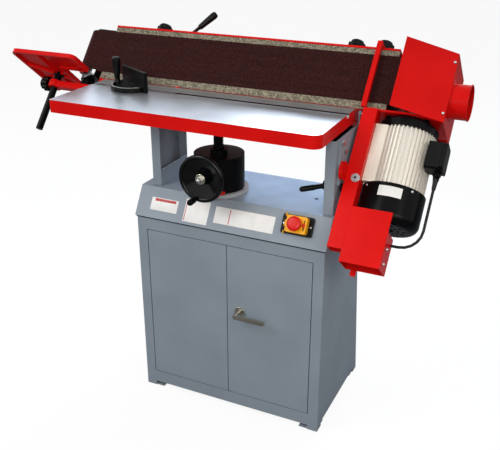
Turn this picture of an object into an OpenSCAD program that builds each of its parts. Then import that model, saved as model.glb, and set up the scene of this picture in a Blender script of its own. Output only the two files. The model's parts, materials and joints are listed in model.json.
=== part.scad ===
// Edge sander: a tilting belt head over a rising cast table on a sheet-steel cabinet.
// Origin: centre of the cabinet's footprint on the floor. +X along the belt, +Y to the back, +Z up.

/* [Cabinet] */
// Width of the cabinet
cab_w = 610; // [560:1:660]
// Depth of the cabinet at the floor
cab_d = 385; // [360:1:420]
// Height of the cabinet to the fascia lip
cab_h = 620; // [590:1:650]
// Rise of the base's top plate above the fascia lip
fascia_rise = 83; // [75:1:95]
// Place of the top plate's rear edge behind the origin
top_rear_y = 97; // [80:1:110]
// Sheet thickness of the cabinet and fascia
sheet = 2.5; // [2:0.1:3.5]
// Height of the foot gap under the cabinet's skirt
foot_h = 16; // [10:1:24]
// Width of each corner foot along the skirt
foot_w = 34; // [26:1:44]
// Radius of the floor bolt holes
floor_hole_r = 6; // [4:0.5:8]

/* [Doors] */
// Width of one door
door_w = 269; // [240:1:280]
// Margin of sheet above the doors
door_head = 45; // [35:1:60]
// Height of the doors' lower edge above the floor
door_z = 60; // [45:1:75]
// Depth of a door's folded edge
door_t = 16; // [12:1:20]
// Gap all round the doors
door_gap = 2.5; // [2:0.1:4]

/* [Table and lift] */
// Length of the table
table_l = 854; // [800:1:900]
// Depth of the table, front to back
table_d = 288; // [260:1:292]
// Height of the table's apron
table_h = 38; // [32:1:46]
// Height of the table's top above the base's top plate
table_rise = 260; // [252:1:267]
// Gap from the table's right end to the right column's outer face
table_side = 8; // [7:0.5:12]
// Place of the table's rear edge
table_rear = 43; // [36:1:44]
// Radius of the table's right front corner
table_corner_r = 28; // [15:1:40]
// Radius of the table's left front corner
table_left_r = 8; // [6:1:20]
// Width of the mitre slot
slot_w = 20; // [16:0.5:24]
// Depth of the mitre slot
slot_d = 10; // [8:0.5:12]
// Radius of the lift post
post_r = 16; // [15:0.5:20]
// Radius of the lift housing
lift_r = 76; // [72:1:80]
// Top of the lift housing above the base's top plate
lift_h = 114; // [108:1:120]
// Radius of the handwheel
wheel_r = 71; // [64:1:80]

/* [Head] */
// Lean of the belt face from upright
tilt = 40; // [35:1:45]
// Width of the sanding belt
belt_w = 150; // [140:1:156]
// Thickness of the sanding belt
belt_t = 1.5; // [1:0.1:2]
// Radius of the drive drum
drive_r = 73.5; // [70:0.5:75]
// Radius of the idler drum
idler_r = 36; // [32:0.5:38]
// Reach of the idler drum's axis past the table's left end
idler_over = 102; // [97:1:108]
// Reach of the belt frame past the table's left end
frame_over = 32; // [26:1:38]
// Width of the tilting arm
arm_w = 42; // [38:1:46]
// Depth of the tilting arm
arm_d = 46; // [44:1:47]
// Length of the tilting arm below the belt frame
arm_l = 416; // [390:1:430]
// Radius of the motor's body
motor_r = 83; // [78:1:84]
// Length of the motor's finned body
stator_l = 172; // [150:1:180]
// Radius of the dust port
port_r = 50; // [45:0.5:55]
// Length of the dust port
port_l = 51; // [45:1:65]

/* [End table and stop] */
// Length of the end table along the belt
end_l = 254; // [230:1:270]
// Depth of the end table across the belt
end_d = 230; // [200:1:250]
// Radius of the end table's post
end_post_r = 11.5; // [9:0.5:12]
// Width of the stop bar
stop_w = 14; // [10:1:18]

/* [Hidden] */
$fn = 64;

// Clearances, and one overrun for every cut
run = 0.05;
gap = 0.3;
over = 1;

// Colours
red = [0.84, 0.1, 0.09];
grey = [0.49, 0.54, 0.58];
black = [0.06, 0.06, 0.07];
steel = [0.72, 0.73, 0.74];
alu = [0.85, 0.84, 0.8];
yellow = [0.95, 0.66, 0];

// Cabinet
base_h = cab_h + fascia_rise;
door_h = cab_h - door_z - door_head;
table_z = base_h + table_rise;
rear_run = cab_d / 2 - top_rear_y;
lip_out = 6;
lip_y = -cab_d / 2 - lip_out;
fascia_depth = 50;
fascia_y = lip_y + fascia_depth;
fascia_w = cab_w + 2 * lip_out - 2;
fascia_angle = atan2(fascia_rise, fascia_depth);
rim_t = 3;
rim_w = 30;
pad_t = 3;
pad_w = 62;
floor_inset = pad_w / 2;
floor_x = cab_w / 2 - floor_inset;
floor_y = cab_d / 2 - floor_inset;
front_y = -cab_d / 2;
cable_hole_r = 6;
cable_hole_x = 218;
cable_hole_y = -34;

// Doors: a hinge pin stands at the top and bottom of each outer edge
door_span = 2 * (door_w + door_gap) + door_gap;
door_left = -door_span / 2 + door_gap;
hinge_in = 7;
hinge_r = 3;
hinge_up = 14;
lug_t = 4;
lug_w = 18;
latch_x = 43;
latch_share = 0.5864;
latch_z = door_z + latch_share * door_h;
rosette_r = 17;
rosette_t = 4;
latch_shaft_r = 7;
latch_reach = 38;
latch_len = 95;
latch_w = 13;
latch_t = 8;
tongue_l = 62;
tongue_w = 14;
tongue_t = 3;

// Switch on the fascia, in the slope's own plane
switch_x = 214;
switch_s = 59;
switch_w = 94;
switch_d = 56;
switch_t = 6;
well_w = 58;
well_d = 44;
lid_w = 66;
lid_d = 48;
lid_t = 20;
lid_wall = 2.5;
lid_pin_r = 2.5;
lid_pin_l = 30;
button_r = 9;
button_h = 9;
button_pitch = 26;
button_rise = 5;
button_stem_r = 5;
mush_r = 21;
mush_h = 14;
mush_neck_r = 8;

// Columns and their trunnion plates
col_w = 30;
col_wall = 4;
col_d = 163;
col_set = 57;
col_front = front_y + col_set;
col_rear = col_front + col_d;
col_drop = 45;
col_h = table_rise - col_drop;
col_top = base_h + col_h;
col_in = 1;
col_left_in = 27;
col_right = cab_w / 2 - col_in;
col_left = -cab_w / 2 + col_left_in;
col_foot = 5;
col_shelf_h = 52;
ear_t = 6;
ear_r = 9.5;
pin_r = 5.5;
trunnion_drop = 130;
bolt_r = 5;
bolt_head_r = 8.5;
bolt_head_h = 5;
trunnion_bolt_shares = [[0.22, 0.9], [0.36, 0.68], [0.87, 0.57], [0.87, 0.15]];

// The arm runs beside the right trunnion
arm_off = 16;
arm_x = col_right + arm_off;

// Pivot of the head, level with the table's rear edge
pivot_y = table_rear + 15;
pivot_z = table_z - 17;

// Tilt lock: a red boss on the right trunnion, and below it a clamp lever through the column
boss_r = 26;
boss_y = -100;
boss_up = 125;
boss_z = base_h + boss_up;
lock_y = -74;
lock_up = 64;
lock_z = base_h + lock_up;
lock_pad_r = 13;
lock_stud_r = 8;
lock_hub_r = 13;
lock_hub_l = 22;
lever_r = 7;
lever_l = 72;
lever_lift = 115;
lever_lean = 65;

// Lift: rack on the post, pinion on the handwheel's shaft
lift_x = -80;
lift_y = -75;
lift_wall = 7;
lift_cap = 12;
lift_flange_r = lift_r + 12;
lift_flange_h = 9;
lift_low = 28;
rack_module = 2;
pinion_teeth = 12;
pinion_r = rack_module * pinion_teeth / 2;
rack_off = 8;
pinion_w = 20;
wheel_x = lift_x + rack_off + pinion_r;
wheel_up = 83;
wheel_z = base_h + wheel_up;
wheel_out = 37.5;
wheel_y = front_y - wheel_out;
shaft_r = 7;
bush_r = 17;
tooth_half = 1.25;
tooth_slope = tan(20);
addendum = 1.8;
dedendum = 2.5;
tooth_count = 46;
pitch_step = PI * rack_module;
post_flange_r = 52;
post_flange_t = 12;
sleeve_r = 26;
sleeve_l = 4;
wheel_dish = 26;
wheel_wall = 6;
wheel_rim_r = 7;
wheel_hub_r = 17;
wheel_hub_l = 32;
crank_r = 9;
crank_l = 42;
crank_pin_r = 4;
crank_share = 0.84;
crank_turn = 102;
clamp_y = 14;
clamp_turn = 22;
clamp_len = 22;
clamp_arm_r = 4.5;
clamp_stud_r = 5;
cap_screws = 6;

// Table
table_right = col_right - table_side;
table_left = table_right - table_l;
table_front = table_rear - table_d;
plate_t = 12;
apron_t = 9;
rib_t = 8;
rib_h = 24;
rib_shares = [0.2, 0.4, 0.6, 0.8];
slot_y = -22;
slot_bed = 4;
slot_rib_w = 44;

// Mitre gauge
mitre_in = 148;
mitre_x = table_left + mitre_in;
bar_l = 300;
bar_lead = 145;
bar_left = mitre_x - bar_lead;
mitre_turn = 60;
disc_r = 66;
disc_t = 15;
fence_front = 84;
fence_back = 64;
fence_t = 12;
fence_h = 62;
stud_r = 6;
clamp_slot_r = 53;
clamp_slot_w = 11;
arc_half = 67;
handle_r = 13;
handle_h = 78;
handle_neck_r = 8;

// Head, in its own frame: origin on the pivot, y to the back of the belt, z along the belt's width
belt_front = -12;
frame_past = 58;
drive_past = 63;
frame_left = table_left - frame_over;
frame_right = arm_x + frame_past;
drive_x = frame_right + drive_past;
idler_x = table_left - idler_over;
belt_low = 34;
belt_high = belt_low + belt_w;
drive_y = belt_front + belt_t + drive_r;
idler_y = belt_front + belt_t + idler_r;
wrap_steps = 36;
flange_t = 6;
strip = 18;
flange_low = belt_low - strip - flange_t;
flange_high = belt_high + strip + flange_t;
pad_front = belt_front + belt_t + gap;
pad_thick = 4;
web_y = pad_front + pad_thick;
web_t = 6;
flange_front = belt_front;
guard_y = 138;
guard_t = 2;
guard_fold = 60;
arm_wall = 4;
arm_fore = 18;
arm_front = belt_front - arm_fore;
arm_top = flange_low;
arm_low = arm_top - arm_l;
lug_x = col_left - ear_t - gap;
lug_thick = 14;
lug_r = 13.5;

// Motor and drive drum
motor_plate_t = 6;
motor_plate_y0 = flange_front;
motor_plate_y1 = guard_y;
bell_top = flange_low;
bell_h = 36;
stator_top = bell_top - bell_h;
stator_low = stator_top - stator_l;
fan_l = 108;
cover_r = motor_r + 7;
fan_low = stator_low - fan_l;
fan_wall = 2.5;
fan_round = 26;
fin_count = 44;
fin_h = 7;
fin_t = 3.2;
rotor_shaft_r = 12;
motor_foot_x = arm_x + arm_w + gap;
motor_foot_y = -8;
motor_foot_w = 34;
motor_foot_d = 48;
box_w = 51;
box_d = 65;
box_h = 80;
box_in = 6;
box_x = drive_x + motor_r - box_in;
box_y = -5;
box_z = -132;
gland_r = 9;
gland_l = 16;
vane_count = 6;
vane_t = 3;
fan_hub_r = 20;
fan_r = motor_r - 14;
fan_h = 44;

// Hood over the drive drum: its front slants from the belt's left side back to the right face
hood_t = 2.5;
hood_low = belt_low - 29;
hood_high = belt_high + 33;
hood_past = 24;
hood_left = frame_right + hood_past;
hood_front = -72;
hood_w = 139;
hood_right = hood_left + hood_w;
hood_side = 3;
hood_rear = 160;
hood_lip = 15;
hood_screw_shares = [0.12, 0.86];
hood_angle = atan2(hood_side - hood_front, hood_right - hood_left);
port_y = 58;
port_z = 97;
port_wall = 2;

// Idler fork and tension
fork_arm_t = 8;
fork_arm_gap = 4;
fork_low_t = 20;
fork_plate_t = 6;
fork_plate_off = 10;
fork_plate_x = frame_left - fork_plate_off;
fork_y0 = 4;
fork_y1 = 46;
fork_nose = -31;
fork_end_r = 24;
axle_r = 9;
slide_w = 34;
slide_t = 14;
slide_y = web_y + web_t + gap;
crank_throw = 8;
crank_pin = 5;
crank_play = 1;
lever_in = 246;
lever_x = frame_left + lever_in;
lever_y = 40;
yoke_half = 18;
slide_right = lever_x + yoke_half;
yoke_y = lever_y + 6;
lever_shaft_r = 8;
lever_hub_r = 14;
lever_hub_h = 20;
tension_len = 116;
tension_r = 7;
tension_grip_r = 9;
tension_lean = 39;
track_r = 21;
track_h = 18;

// Stop bar and the guard's knobs
stop_in = 66;
stop_x = frame_right - stop_in;
stop_t = 14;
stop_off = 8;
stop_low = arm_top + 2 * gap;
stop_leg = 74;
stop_slot_l = 26;
knob_r = 26;
knob_h = 20;
knob_stem_r = 5;
knob_lobes = 7;
guard_knob_y = 22;
guard_knob_shares = [0.167, 0.852];

// End table
end_gap = 21;
end_right = frame_left - end_gap;
end_reach = 130;
end_front = belt_front - end_reach;
end_top = belt_low - 12;
end_plate_t = 6;
end_rim_t = 8;
end_rim_h = 14;
end_corner_r = 20;
notch_x = idler_x - idler_r - 2 * end_rim_t;
notch_y = belt_front - 38;
end_post_in = 105;
end_post_x = idler_x - end_post_in;
end_post_y = 3;
end_post_l = 208;
end_boss_r = 18;
end_hub_r = 22;
end_hub_h = 24;
end_hub_top = -14;
bracket_h = 22;
bracket_d = 26;
bracket_in = 27;
bracket_right = frame_left + bracket_in;
end_knob_r = 25;
end_knob_l = 28;

// Junction box on the arm and the lead that runs to it from the motor
jbox_w = 112;
jbox_h = 158;
jbox_d = 82;
jbox_t = 2.5;
jbox_up = 124;
jbox_top = arm_low + jbox_up;
jbox_x = arm_x + arm_w;
jbox_bolt_shares = [0.6, 0.86];
arm_screw_shares = [0.54, 0.73];
shelf_drop = 53;
jbox_shelf = jbox_top - shelf_drop;
lead_r = 4;
lead_sides = 8;
lead_out = 109;
lead_x = drive_x + lead_out;
lead_y = 40;
lead_in = 3;
lead_top = box_z - lead_in;
lead_stop = jbox_x + jbox_w - over;
lead_low = jbox_shelf - 5 * lead_r;
lead_bend = 56;
lead_route = concat(
    [for (i = [0:5]) [lead_x, lead_y, lead_top + (lead_low + lead_bend - lead_top) * i / 5]],
    [for (i = [1:5]) [lead_x - lead_bend * (1 - cos(18 * i)), lead_y,
            lead_low + lead_bend * (1 - sin(18 * i))]],
    [for (i = [1:3]) [lead_x - lead_bend + (lead_stop - lead_x + lead_bend) * i / 3, lead_y, lead_low]]
);

// Place of the sloping rear wall at a height
function rear_y(z) = cab_d / 2 - rear_run * z / base_h;

// Turns a flat shape drawn in y and z into a prism between two places along X
module prism_x(x0, x1) {
    translate([x0, 0, 0]) rotate([90, 0, 90]) linear_extrude(x1 - x0) children();
}

module xcyl(r, l, sides = 64) {
    rotate([0, 90, 0]) cylinder(r = r, h = l, $fn = sides);
}

module ycyl(r, l, sides = 64) {
    rotate([-90, 0, 0]) cylinder(r = r, h = l, $fn = sides);
}

module block(low, high) {
    translate(low) cube(high - low);
}

// Rectangle from the origin with its corners rounded
module round_rect(w, h, r) {
    translate([r, 0]) square([w - 2 * r, h]);
    translate([0, r]) square([w, h - 2 * r]);
    for (x = [r, w - r], y = [r, h - r]) translate([x, y]) circle(r);
}

// Moves from the head's own frame to its rest place, leaning back
module head() {
    translate([0, pivot_y, pivot_z]) rotate([-tilt, 0, 0]) children();
}

// Moves to the fascia's slope: x along the lip, y up the slope, z out of it
module on_fascia() {
    translate([0, lip_y, cab_h]) rotate([fascia_angle, 0, 0]) children();
}

// Hexagon bolt standing along +X, its head's seat at the origin
module hex_bolt_x(r, grip) {
    translate([-grip, 0, 0]) xcyl(r, grip);
    xcyl(bolt_head_r, bolt_head_h, 6);
}

// Moulded knob with lobes, standing on z = 0
module star_knob(r, h, lobes) {
    lobe = r * 0.3;
    difference() {
        cylinder(r = r, h = h);
        for (i = [0:lobes - 1]) rotate(360 * (i + 0.5) / lobes)
            translate([r + lobe * 0.35, 0, -over]) cylinder(r = lobe, h = h + 2 * over);
    }
    translate([0, 0, h]) intersection() {
        scale(r * 0.8) sphere(1);
        cylinder(r = r, h = h * 0.4);
    }
}

module cabinet_profile(inset, low) {
    polygon([
        [front_y + inset, low], [rear_y(low) - inset, low],
        [rear_y(cab_h) - inset, cab_h], [front_y + inset, cab_h]
    ]);
}

module cabinet_shell() color(grey) {
    opening = door_span / 2;
    difference() {
        prism_x(-cab_w / 2, cab_w / 2) cabinet_profile(0, 0);
        difference() {
            prism_x(-cab_w / 2 + sheet, cab_w / 2 - sheet) cabinet_profile(sheet, -over);
            block([-cab_w / 2, front_y, foot_h], [cab_w / 2, cab_d / 2, foot_h + sheet]);
            for (sx = [-1, 1], sy = [-1, 1])
                block([sx * floor_x - pad_w / 2, sy * floor_y - pad_w / 2, 0],
                      [sx * floor_x + pad_w / 2, sy * floor_y + pad_w / 2, pad_t]);
            translate([0, 0, cab_h - rim_t]) difference() {
                block([-cab_w / 2, front_y, 0], [cab_w / 2, cab_d / 2, rim_t + over]);
                block([-cab_w / 2 + rim_w, front_y + rim_w, -over],
                      [cab_w / 2 - rim_w, rear_y(cab_h) - rim_w, rim_t + 2 * over]);
            }
            for (sx = [-1, 1], z = [door_z - hinge_up, door_z + door_h + hinge_up - lug_t])
                translate([sx * (opening - door_gap - hinge_in), 0, z])
                    block([-lug_w / 2, front_y, 0], [lug_w / 2, front_y + lug_w, lug_t]);
        }
        block([-opening, front_y - over, door_z - door_gap],
              [opening, front_y + sheet + over, door_z + door_h + door_gap]);
        block([-cab_w / 2 + foot_w, front_y - over, -over], [cab_w / 2 - foot_w, front_y + sheet, foot_h]);
        block([-cab_w / 2 + foot_w, rear_y(foot_h) - 2 * sheet, -over],
              [cab_w / 2 - foot_w, cab_d / 2 + over, foot_h]);
        for (sx = [-1, 1])
            translate([sx * (cab_w - sheet) / 2, 0, 0])
                block([-sheet, front_y + foot_w, -over], [sheet, cab_d / 2 - foot_w, foot_h]);
        for (sx = [-1, 1], sy = [-1, 1]) {
            translate([sx * floor_x, sy * floor_y, -over])
                cylinder(r = floor_hole_r, h = pad_t + 2 * over);
            translate([sx * floor_x, sy * floor_y, foot_h - over])
                cylinder(r = 2 * floor_hole_r, h = sheet + 2 * over);
        }
        for (sx = [-1, 1])
            translate([sx * (opening - door_gap - hinge_in), front_y + hinge_in, 0])
                for (z = [door_z - hinge_up, door_z + door_h + hinge_up - lug_t])
                    translate([0, 0, z - over]) cylinder(r = hinge_r + run, h = lug_t + 2 * over);
    }
}

module fascia_profile(inset) {
    slant = inset / sin(fascia_angle);
    polygon([
        [lip_y + slant, cab_h - (inset > 0 ? over : 0)],
        [fascia_y + slant - inset / tan(fascia_angle), base_h - inset],
        [top_rear_y - inset, base_h - inset],
        [rear_y(cab_h) - inset, cab_h - (inset > 0 ? over : 0)]
    ]);
}

module fascia_housing() color(grey) {
    difference() {
        prism_x(-fascia_w / 2, fascia_w / 2) fascia_profile(0);
        prism_x(-fascia_w / 2 + sheet, fascia_w / 2 - sheet) fascia_profile(sheet);
        translate([lift_x, lift_y, base_h - 2 * sheet])
            cylinder(r = post_r + rack_module + over, h = 3 * sheet);
        translate([cable_hole_x, cable_hole_y, base_h - 2 * sheet])
            cylinder(r = cable_hole_r, h = 3 * sheet);
        on_fascia() translate([switch_x - well_w / 2, switch_s - well_d / 2, -2 * sheet])
            cube([well_w, well_d, 3 * sheet]);
    }
    // Turned-in flange that closes the lip and rests on the cabinet's rim
    difference() {
        block([-fascia_w / 2 + sheet, lip_y + sheet, cab_h],
              [fascia_w / 2 - sheet, rear_y(cab_h) - sheet, cab_h + sheet]);
        block([-cab_w / 2 + rim_w, front_y + rim_w, cab_h - over],
              [cab_w / 2 - rim_w, rear_y(cab_h) - rim_w, cab_h + sheet + over]);
    }
}

// One door, drawn from its hinge edge towards +X
module door_leaf() {
    difference() {
        translate([-hinge_in, -hinge_in, 0]) cube([door_w, door_t, door_h]);
        translate([-hinge_in + sheet, -hinge_in + sheet, sheet])
            cube([door_w - 2 * sheet, door_t, door_h - 2 * sheet]);
    }
    translate([0, 0, door_h - sheet]) cylinder(r = hinge_r, h = hinge_up + sheet);
    translate([0, 0, -hinge_up]) cylinder(r = hinge_r, h = hinge_up + sheet);
    for (z = [0, door_h - 2 * hinge_up]) translate([0, 0, z])
        cylinder(r = 2 * hinge_r, h = 2 * hinge_up);
}

module left_door() color(grey)
    translate([door_left + hinge_in, front_y + hinge_in, door_z]) door_leaf();

module right_door() color(grey) difference() {
    translate([-door_left - hinge_in, front_y + hinge_in, door_z]) mirror([1, 0, 0]) door_leaf();
    translate([latch_x, front_y - over, latch_z]) ycyl(latch_shaft_r + run, sheet + 2 * over);
}

module latch_rosette() color(steel) translate([latch_x, front_y - rosette_t, latch_z]) difference() {
    union() {
        ycyl(rosette_r, rosette_t);
        translate([0, -rosette_t, 0]) ycyl(rosette_r * 0.72, rosette_t);
    }
    translate([0, -2 * rosette_t, 0]) ycyl(latch_shaft_r + run, 4 * rosette_t);
}

// L-handle, its shaft and the tongue behind the door; the tongue stands clear of the other door at rest
module latch_handle() color(steel) translate([latch_x, front_y, latch_z]) {
    translate([0, -latch_reach, 0]) ycyl(latch_shaft_r, latch_reach + door_t + gap + tongue_t);
    translate([0, -latch_reach, 0]) rotate([-90, 0, 0]) linear_extrude(latch_t) {
        circle(latch_w / 2);
        translate([0, -latch_w / 2]) square([latch_len - latch_w / 2, latch_w]);
        translate([latch_len - latch_w / 2, 0]) circle(latch_w / 2);
    }
    block([-tongue_w / 2, door_t + gap, 0], [tongue_w / 2, door_t + gap + tongue_t, tongue_l]);
}

// Folded channel, open to the inside, its outer face on x = 0
module column() {
    block([-col_w, col_front, base_h], [0, col_rear, base_h + col_foot]);
    difference() {
        block([-col_w, col_front, base_h], [0, col_rear, col_top]);
        block([-col_w - over, col_front + col_wall, base_h + col_foot],
              [-col_wall, col_rear - col_wall, col_top + over]);
        for (s = trunnion_bolt_shares)
            translate([-2 * col_wall, bolt_y(s), bolt_z(s)]) xcyl(bolt_r + gap, 3 * col_wall);
        children();
    }
    block([-col_w, col_front + col_wall, base_h + col_foot],
          [-col_w + col_wall, col_rear - col_wall, base_h + col_shelf_h]);
}

function bolt_y(s) = col_front + s[0] * col_d;
function bolt_z(s) = col_top - trunnion_drop * (1 - s[1]);

module right_column() color(grey) translate([col_right, 0, 0]) column()
    translate([-2 * col_wall, lock_y, lock_z]) xcyl(lock_stud_r + run, 3 * col_wall);

module left_column() color(grey) translate([col_left, 0, 0]) mirror([1, 0, 0]) column();

// Plate bolted to a column's outer face, with the ear that carries the head's pivot
module trunnion() {
    neck = 2 * ear_r;
    difference() {
        prism_x(0, ear_t) union() {
            polygon([
                [col_front + col_d / 8, col_top - trunnion_drop], [col_rear, col_top - trunnion_drop],
                [col_rear + neck / 2, col_top - trunnion_drop / 2],
                [pivot_y + ear_r, col_top - neck / 2], [pivot_y + ear_r, pivot_z],
                [pivot_y - ear_r, pivot_z], [pivot_y - ear_r, col_top],
                [col_front + col_d / 8, col_top]
            ]);
            translate([pivot_y, pivot_z]) circle(ear_r);
        }
        translate([-over, pivot_y, pivot_z]) xcyl(pin_r, ear_t + 2 * over);
        for (s = trunnion_bolt_shares)
            translate([-over, bolt_y(s), bolt_z(s)]) xcyl(bolt_r + gap, ear_t + 2 * over);
        children();
    }
}

module right_trunnion() color(grey) translate([col_right, 0, 0]) trunnion();

module left_trunnion() color(grey) translate([col_left, 0, 0]) mirror([1, 0, 0]) trunnion();

// Bolts through the trunnions and columns, with their nuts, and the lift housing's cap screws
module frame_bolts() color(steel) {
    grip = ear_t + col_wall + bolt_head_h;
    for (side = [1, -1]) translate([side > 0 ? col_right : col_left, 0, 0])
        mirror([side > 0 ? 0 : 1, 0, 0]) for (s = trunnion_bolt_shares)
            translate([ear_t, bolt_y(s), bolt_z(s)]) {
                hex_bolt_x(bolt_r, grip);
                translate([-grip, 0, 0]) xcyl(bolt_head_r, bolt_head_h, 6);
            }
    for (i = [0:cap_screws - 1]) rotate_about_lift(360 * i / cap_screws)
        translate([(lift_r + lift_flange_r) / 2, 0, base_h + lift_flange_h])
            cylinder(r = bolt_r * 0.8, h = bolt_head_h);
}

module rotate_about_lift(angle) {
    translate([lift_x, lift_y, 0]) rotate(angle) children();
}

// Pins fixed in the trunnions' ears; the head turns on their free ends
module pivot_pins() color(steel) {
    translate([col_right, pivot_y, pivot_z]) xcyl(pin_r, arm_x - col_right + arm_w * 0.6);
    translate([lug_x - lug_thick, pivot_y, pivot_z]) xcyl(pin_r, lug_thick + gap + ear_t);
}

module tilt_boss() color(red) translate([col_right + ear_t, boss_y, boss_z])
    xcyl(boss_r, arm_x - col_right - ear_t - gap);

// Clamp lever inside the right column, on a stud whose pad bears on the arm's side
module tilt_lever() color(black) translate([col_right, lock_y, lock_z]) {
    hub_x = -col_w - lock_hub_l - gap;
    translate([hub_x, 0, 0]) xcyl(lock_hub_r, lock_hub_l);
    translate([hub_x, 0, 0]) xcyl(lock_stud_r, arm_x - col_right - gap - hub_x);
    translate([gap, 0, 0]) xcyl(lock_pad_r, arm_x - col_right - 2 * gap);
    translate([hub_x + lock_hub_l / 2, 0, 0]) rotate([lever_lift, 0, 0]) rotate([0, -lever_lean, 0]) {
        cylinder(r = lever_r, h = lever_l);
        translate([0, 0, lever_l]) sphere(lever_r * 1.15);
        translate([0, 0, lever_l / 2]) cylinder(r = lever_r * 1.15, h = lever_l / 2);
    }
}

module lift_housing() color(black) difference() {
    union() {
        translate([lift_x, lift_y, base_h]) {
            cylinder(r = lift_flange_r, h = lift_flange_h);
            cylinder(r = lift_r, h = lift_h);
            translate([0, 0, lift_h]) cylinder(r = sleeve_r, h = lift_cap);
        }
        translate([wheel_x, lift_y - lift_r, wheel_z]) translate([0, -lift_wall, 0])
            ycyl(bush_r, lift_wall * 2);
    }
    translate([lift_x, lift_y, base_h - over]) difference() {
        cylinder(r = lift_r - lift_wall, h = lift_h - lift_cap + over);
        translate([0, 0, lift_h - lift_cap - sleeve_l]) cylinder(r = sleeve_r, h = sleeve_l + 2 * over);
        translate([wheel_x - lift_x, -lift_r, wheel_z - base_h + over])
            ycyl(bush_r, lift_r - pinion_w);
    }
    translate([lift_x, lift_y, base_h - over]) cylinder(r = post_r + run, h = lift_h + lift_cap + 2 * over);
    translate([wheel_x, lift_y - 2 * lift_r, wheel_z]) ycyl(shaft_r + run, 2 * lift_r);
    translate([lift_x, lift_y, base_h + clamp_y]) rotate(clamp_turn)
        translate([0, -lift_r - over, 0]) ycyl(clamp_stud_r + run, lift_wall + 2 * over);
}

// Red lever that clamps the post at the foot of the housing
module lift_lock() color(red) translate([lift_x, lift_y, base_h + clamp_y]) rotate(clamp_turn)
    translate([0, -lift_flange_r - 2 * gap, 0]) {
        ycyl(clamp_stud_r, lift_flange_r - lift_r + lift_wall + 2 * gap);
        translate([0, -clamp_stud_r, 0]) ycyl(1.6 * clamp_arm_r, clamp_stud_r);
        translate([0, -clamp_stud_r, 0]) rotate([90, 0, 0]) rotate([0, 0, 20]) linear_extrude(clamp_arm_r) {
            circle(2 * clamp_arm_r);
            translate([0, -clamp_arm_r]) square([clamp_len, 2 * clamp_arm_r]);
            translate([clamp_len, 0]) circle(clamp_arm_r);
        }
    }

// Table post with its flange and the rack's teeth
module lift_post() color(steel) {
    top = table_z - plate_t;
    translate([lift_x, lift_y, 0]) {
        translate([0, 0, top - post_flange_t]) cylinder(r = post_flange_r, h = post_flange_t);
        difference() {
            translate([0, 0, base_h - lift_low]) cylinder(r = post_r, h = top - base_h + lift_low);
            translate([rack_off, 0, wheel_z]) for (i = [-15:15 - 1])
                translate([0, 0, i * pitch_step]) rack_gap();
            block([rack_off + addendum, -post_r, wheel_z - 16 * pitch_step],
                  [2 * post_r, post_r, wheel_z + 15 * pitch_step]);
        }
    }
}

// Space between two teeth of the rack, centred on the pinion's tooth
module rack_gap() {
    half = pitch_step / 2 - tooth_half;
    rotate([90, 0, 0]) linear_extrude(4 * post_r, center = true) polygon([
        [-dedendum, -half + dedendum * tooth_slope], [addendum + over, -half - (addendum + over)
                * tooth_slope],
        [addendum + over, half + (addendum + over) * tooth_slope], [-dedendum, half - dedendum * tooth_slope]
    ]);
}

module lift_pinion() color(steel) translate([wheel_x, lift_y - pinion_w / 2, wheel_z])
    rotate([-90, 0, 0]) difference() {
        linear_extrude(pinion_w) {
            circle(pinion_r - dedendum);
            for (i = [0:pinion_teeth - 1]) rotate(180 + 360 * i / pinion_teeth) polygon([
                [0, -tooth_half - dedendum * tooth_slope],
                [pinion_r - dedendum, -tooth_half - dedendum * tooth_slope * 0.6],
                [pinion_r + addendum, -tooth_half + addendum * tooth_slope],
                [pinion_r + addendum, tooth_half - addendum * tooth_slope],
                [pinion_r - dedendum, tooth_half + dedendum * tooth_slope * 0.6],
                [0, tooth_half + dedendum * tooth_slope]
            ]);
        }
        translate([0, 0, -over]) cylinder(r = shaft_r, h = pinion_w + 2 * over);
    }

// Shaft from the wheel's nut to the pinion
module wheel_shaft() color(steel) translate([wheel_x, 0, wheel_z]) {
    translate([0, wheel_y, 0]) ycyl(shaft_r, lift_y + pinion_w / 2 - wheel_y);
    translate([0, wheel_y - 12, 0]) {
        ycyl(shaft_r * 1.3, 12, 6);
        scale(shaft_r * 0.9) sphere(1);
    }
}

// Dished solid handwheel with a rolled rim
module handwheel() color(black) translate([wheel_x, wheel_y, wheel_z]) rotate([-90, 0, 0]) difference() {
    rotate_extrude() {
        translate([shaft_r, 0]) square([wheel_hub_r - shaft_r, wheel_hub_l]);
        polygon([
            [shaft_r, wheel_dish - wheel_wall], [wheel_r - wheel_rim_r, 0],
            [wheel_r - wheel_rim_r, wheel_wall], [wheel_hub_r, wheel_dish],
            [shaft_r, wheel_dish]
        ]);
        translate([wheel_r - wheel_rim_r, wheel_rim_r * 0.6]) circle(wheel_rim_r);
    }
    rotate(crank_turn) translate([wheel_r * crank_share, 0, -wheel_dish])
        cylinder(r = crank_pin_r, h = 2 * wheel_dish);
}

// Revolving grip on its pin near the wheel's rim
module crank_grip() color(black) translate([wheel_x, wheel_y, wheel_z]) rotate([-90, 0, 0])
    rotate(crank_turn) translate([wheel_r * crank_share, 0, 0]) {
        base = -wheel_rim_r * 0.5;
        translate([0, 0, base - crank_l]) rotate_extrude() polygon([
            [0, 0], [crank_r * 0.8, 0], [crank_r, crank_l * 0.15], [crank_r * 0.95, crank_l * 0.6],
            [crank_r * 0.6, crank_l], [0, crank_l]
        ]);
        translate([0, 0, base]) cylinder(r = crank_pin_r - run, h = wheel_rim_r * 0.5 + wheel_wall);
    }

module table_outline(inset) {
    w = table_l - 2 * inset;
    d = table_d - 2 * inset;
    left = table_left_r;
    right = table_corner_r;
    translate([table_left + inset, table_front + inset]) {
        translate([left, 0]) square([w - left - right, d]);
        translate([0, left]) square([w / 2, d - left]);
        translate([w / 2, right]) square([w / 2, d - right]);
        translate([left, left]) circle(left);
        translate([w - right, right]) circle(right);
    }
}

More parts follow.
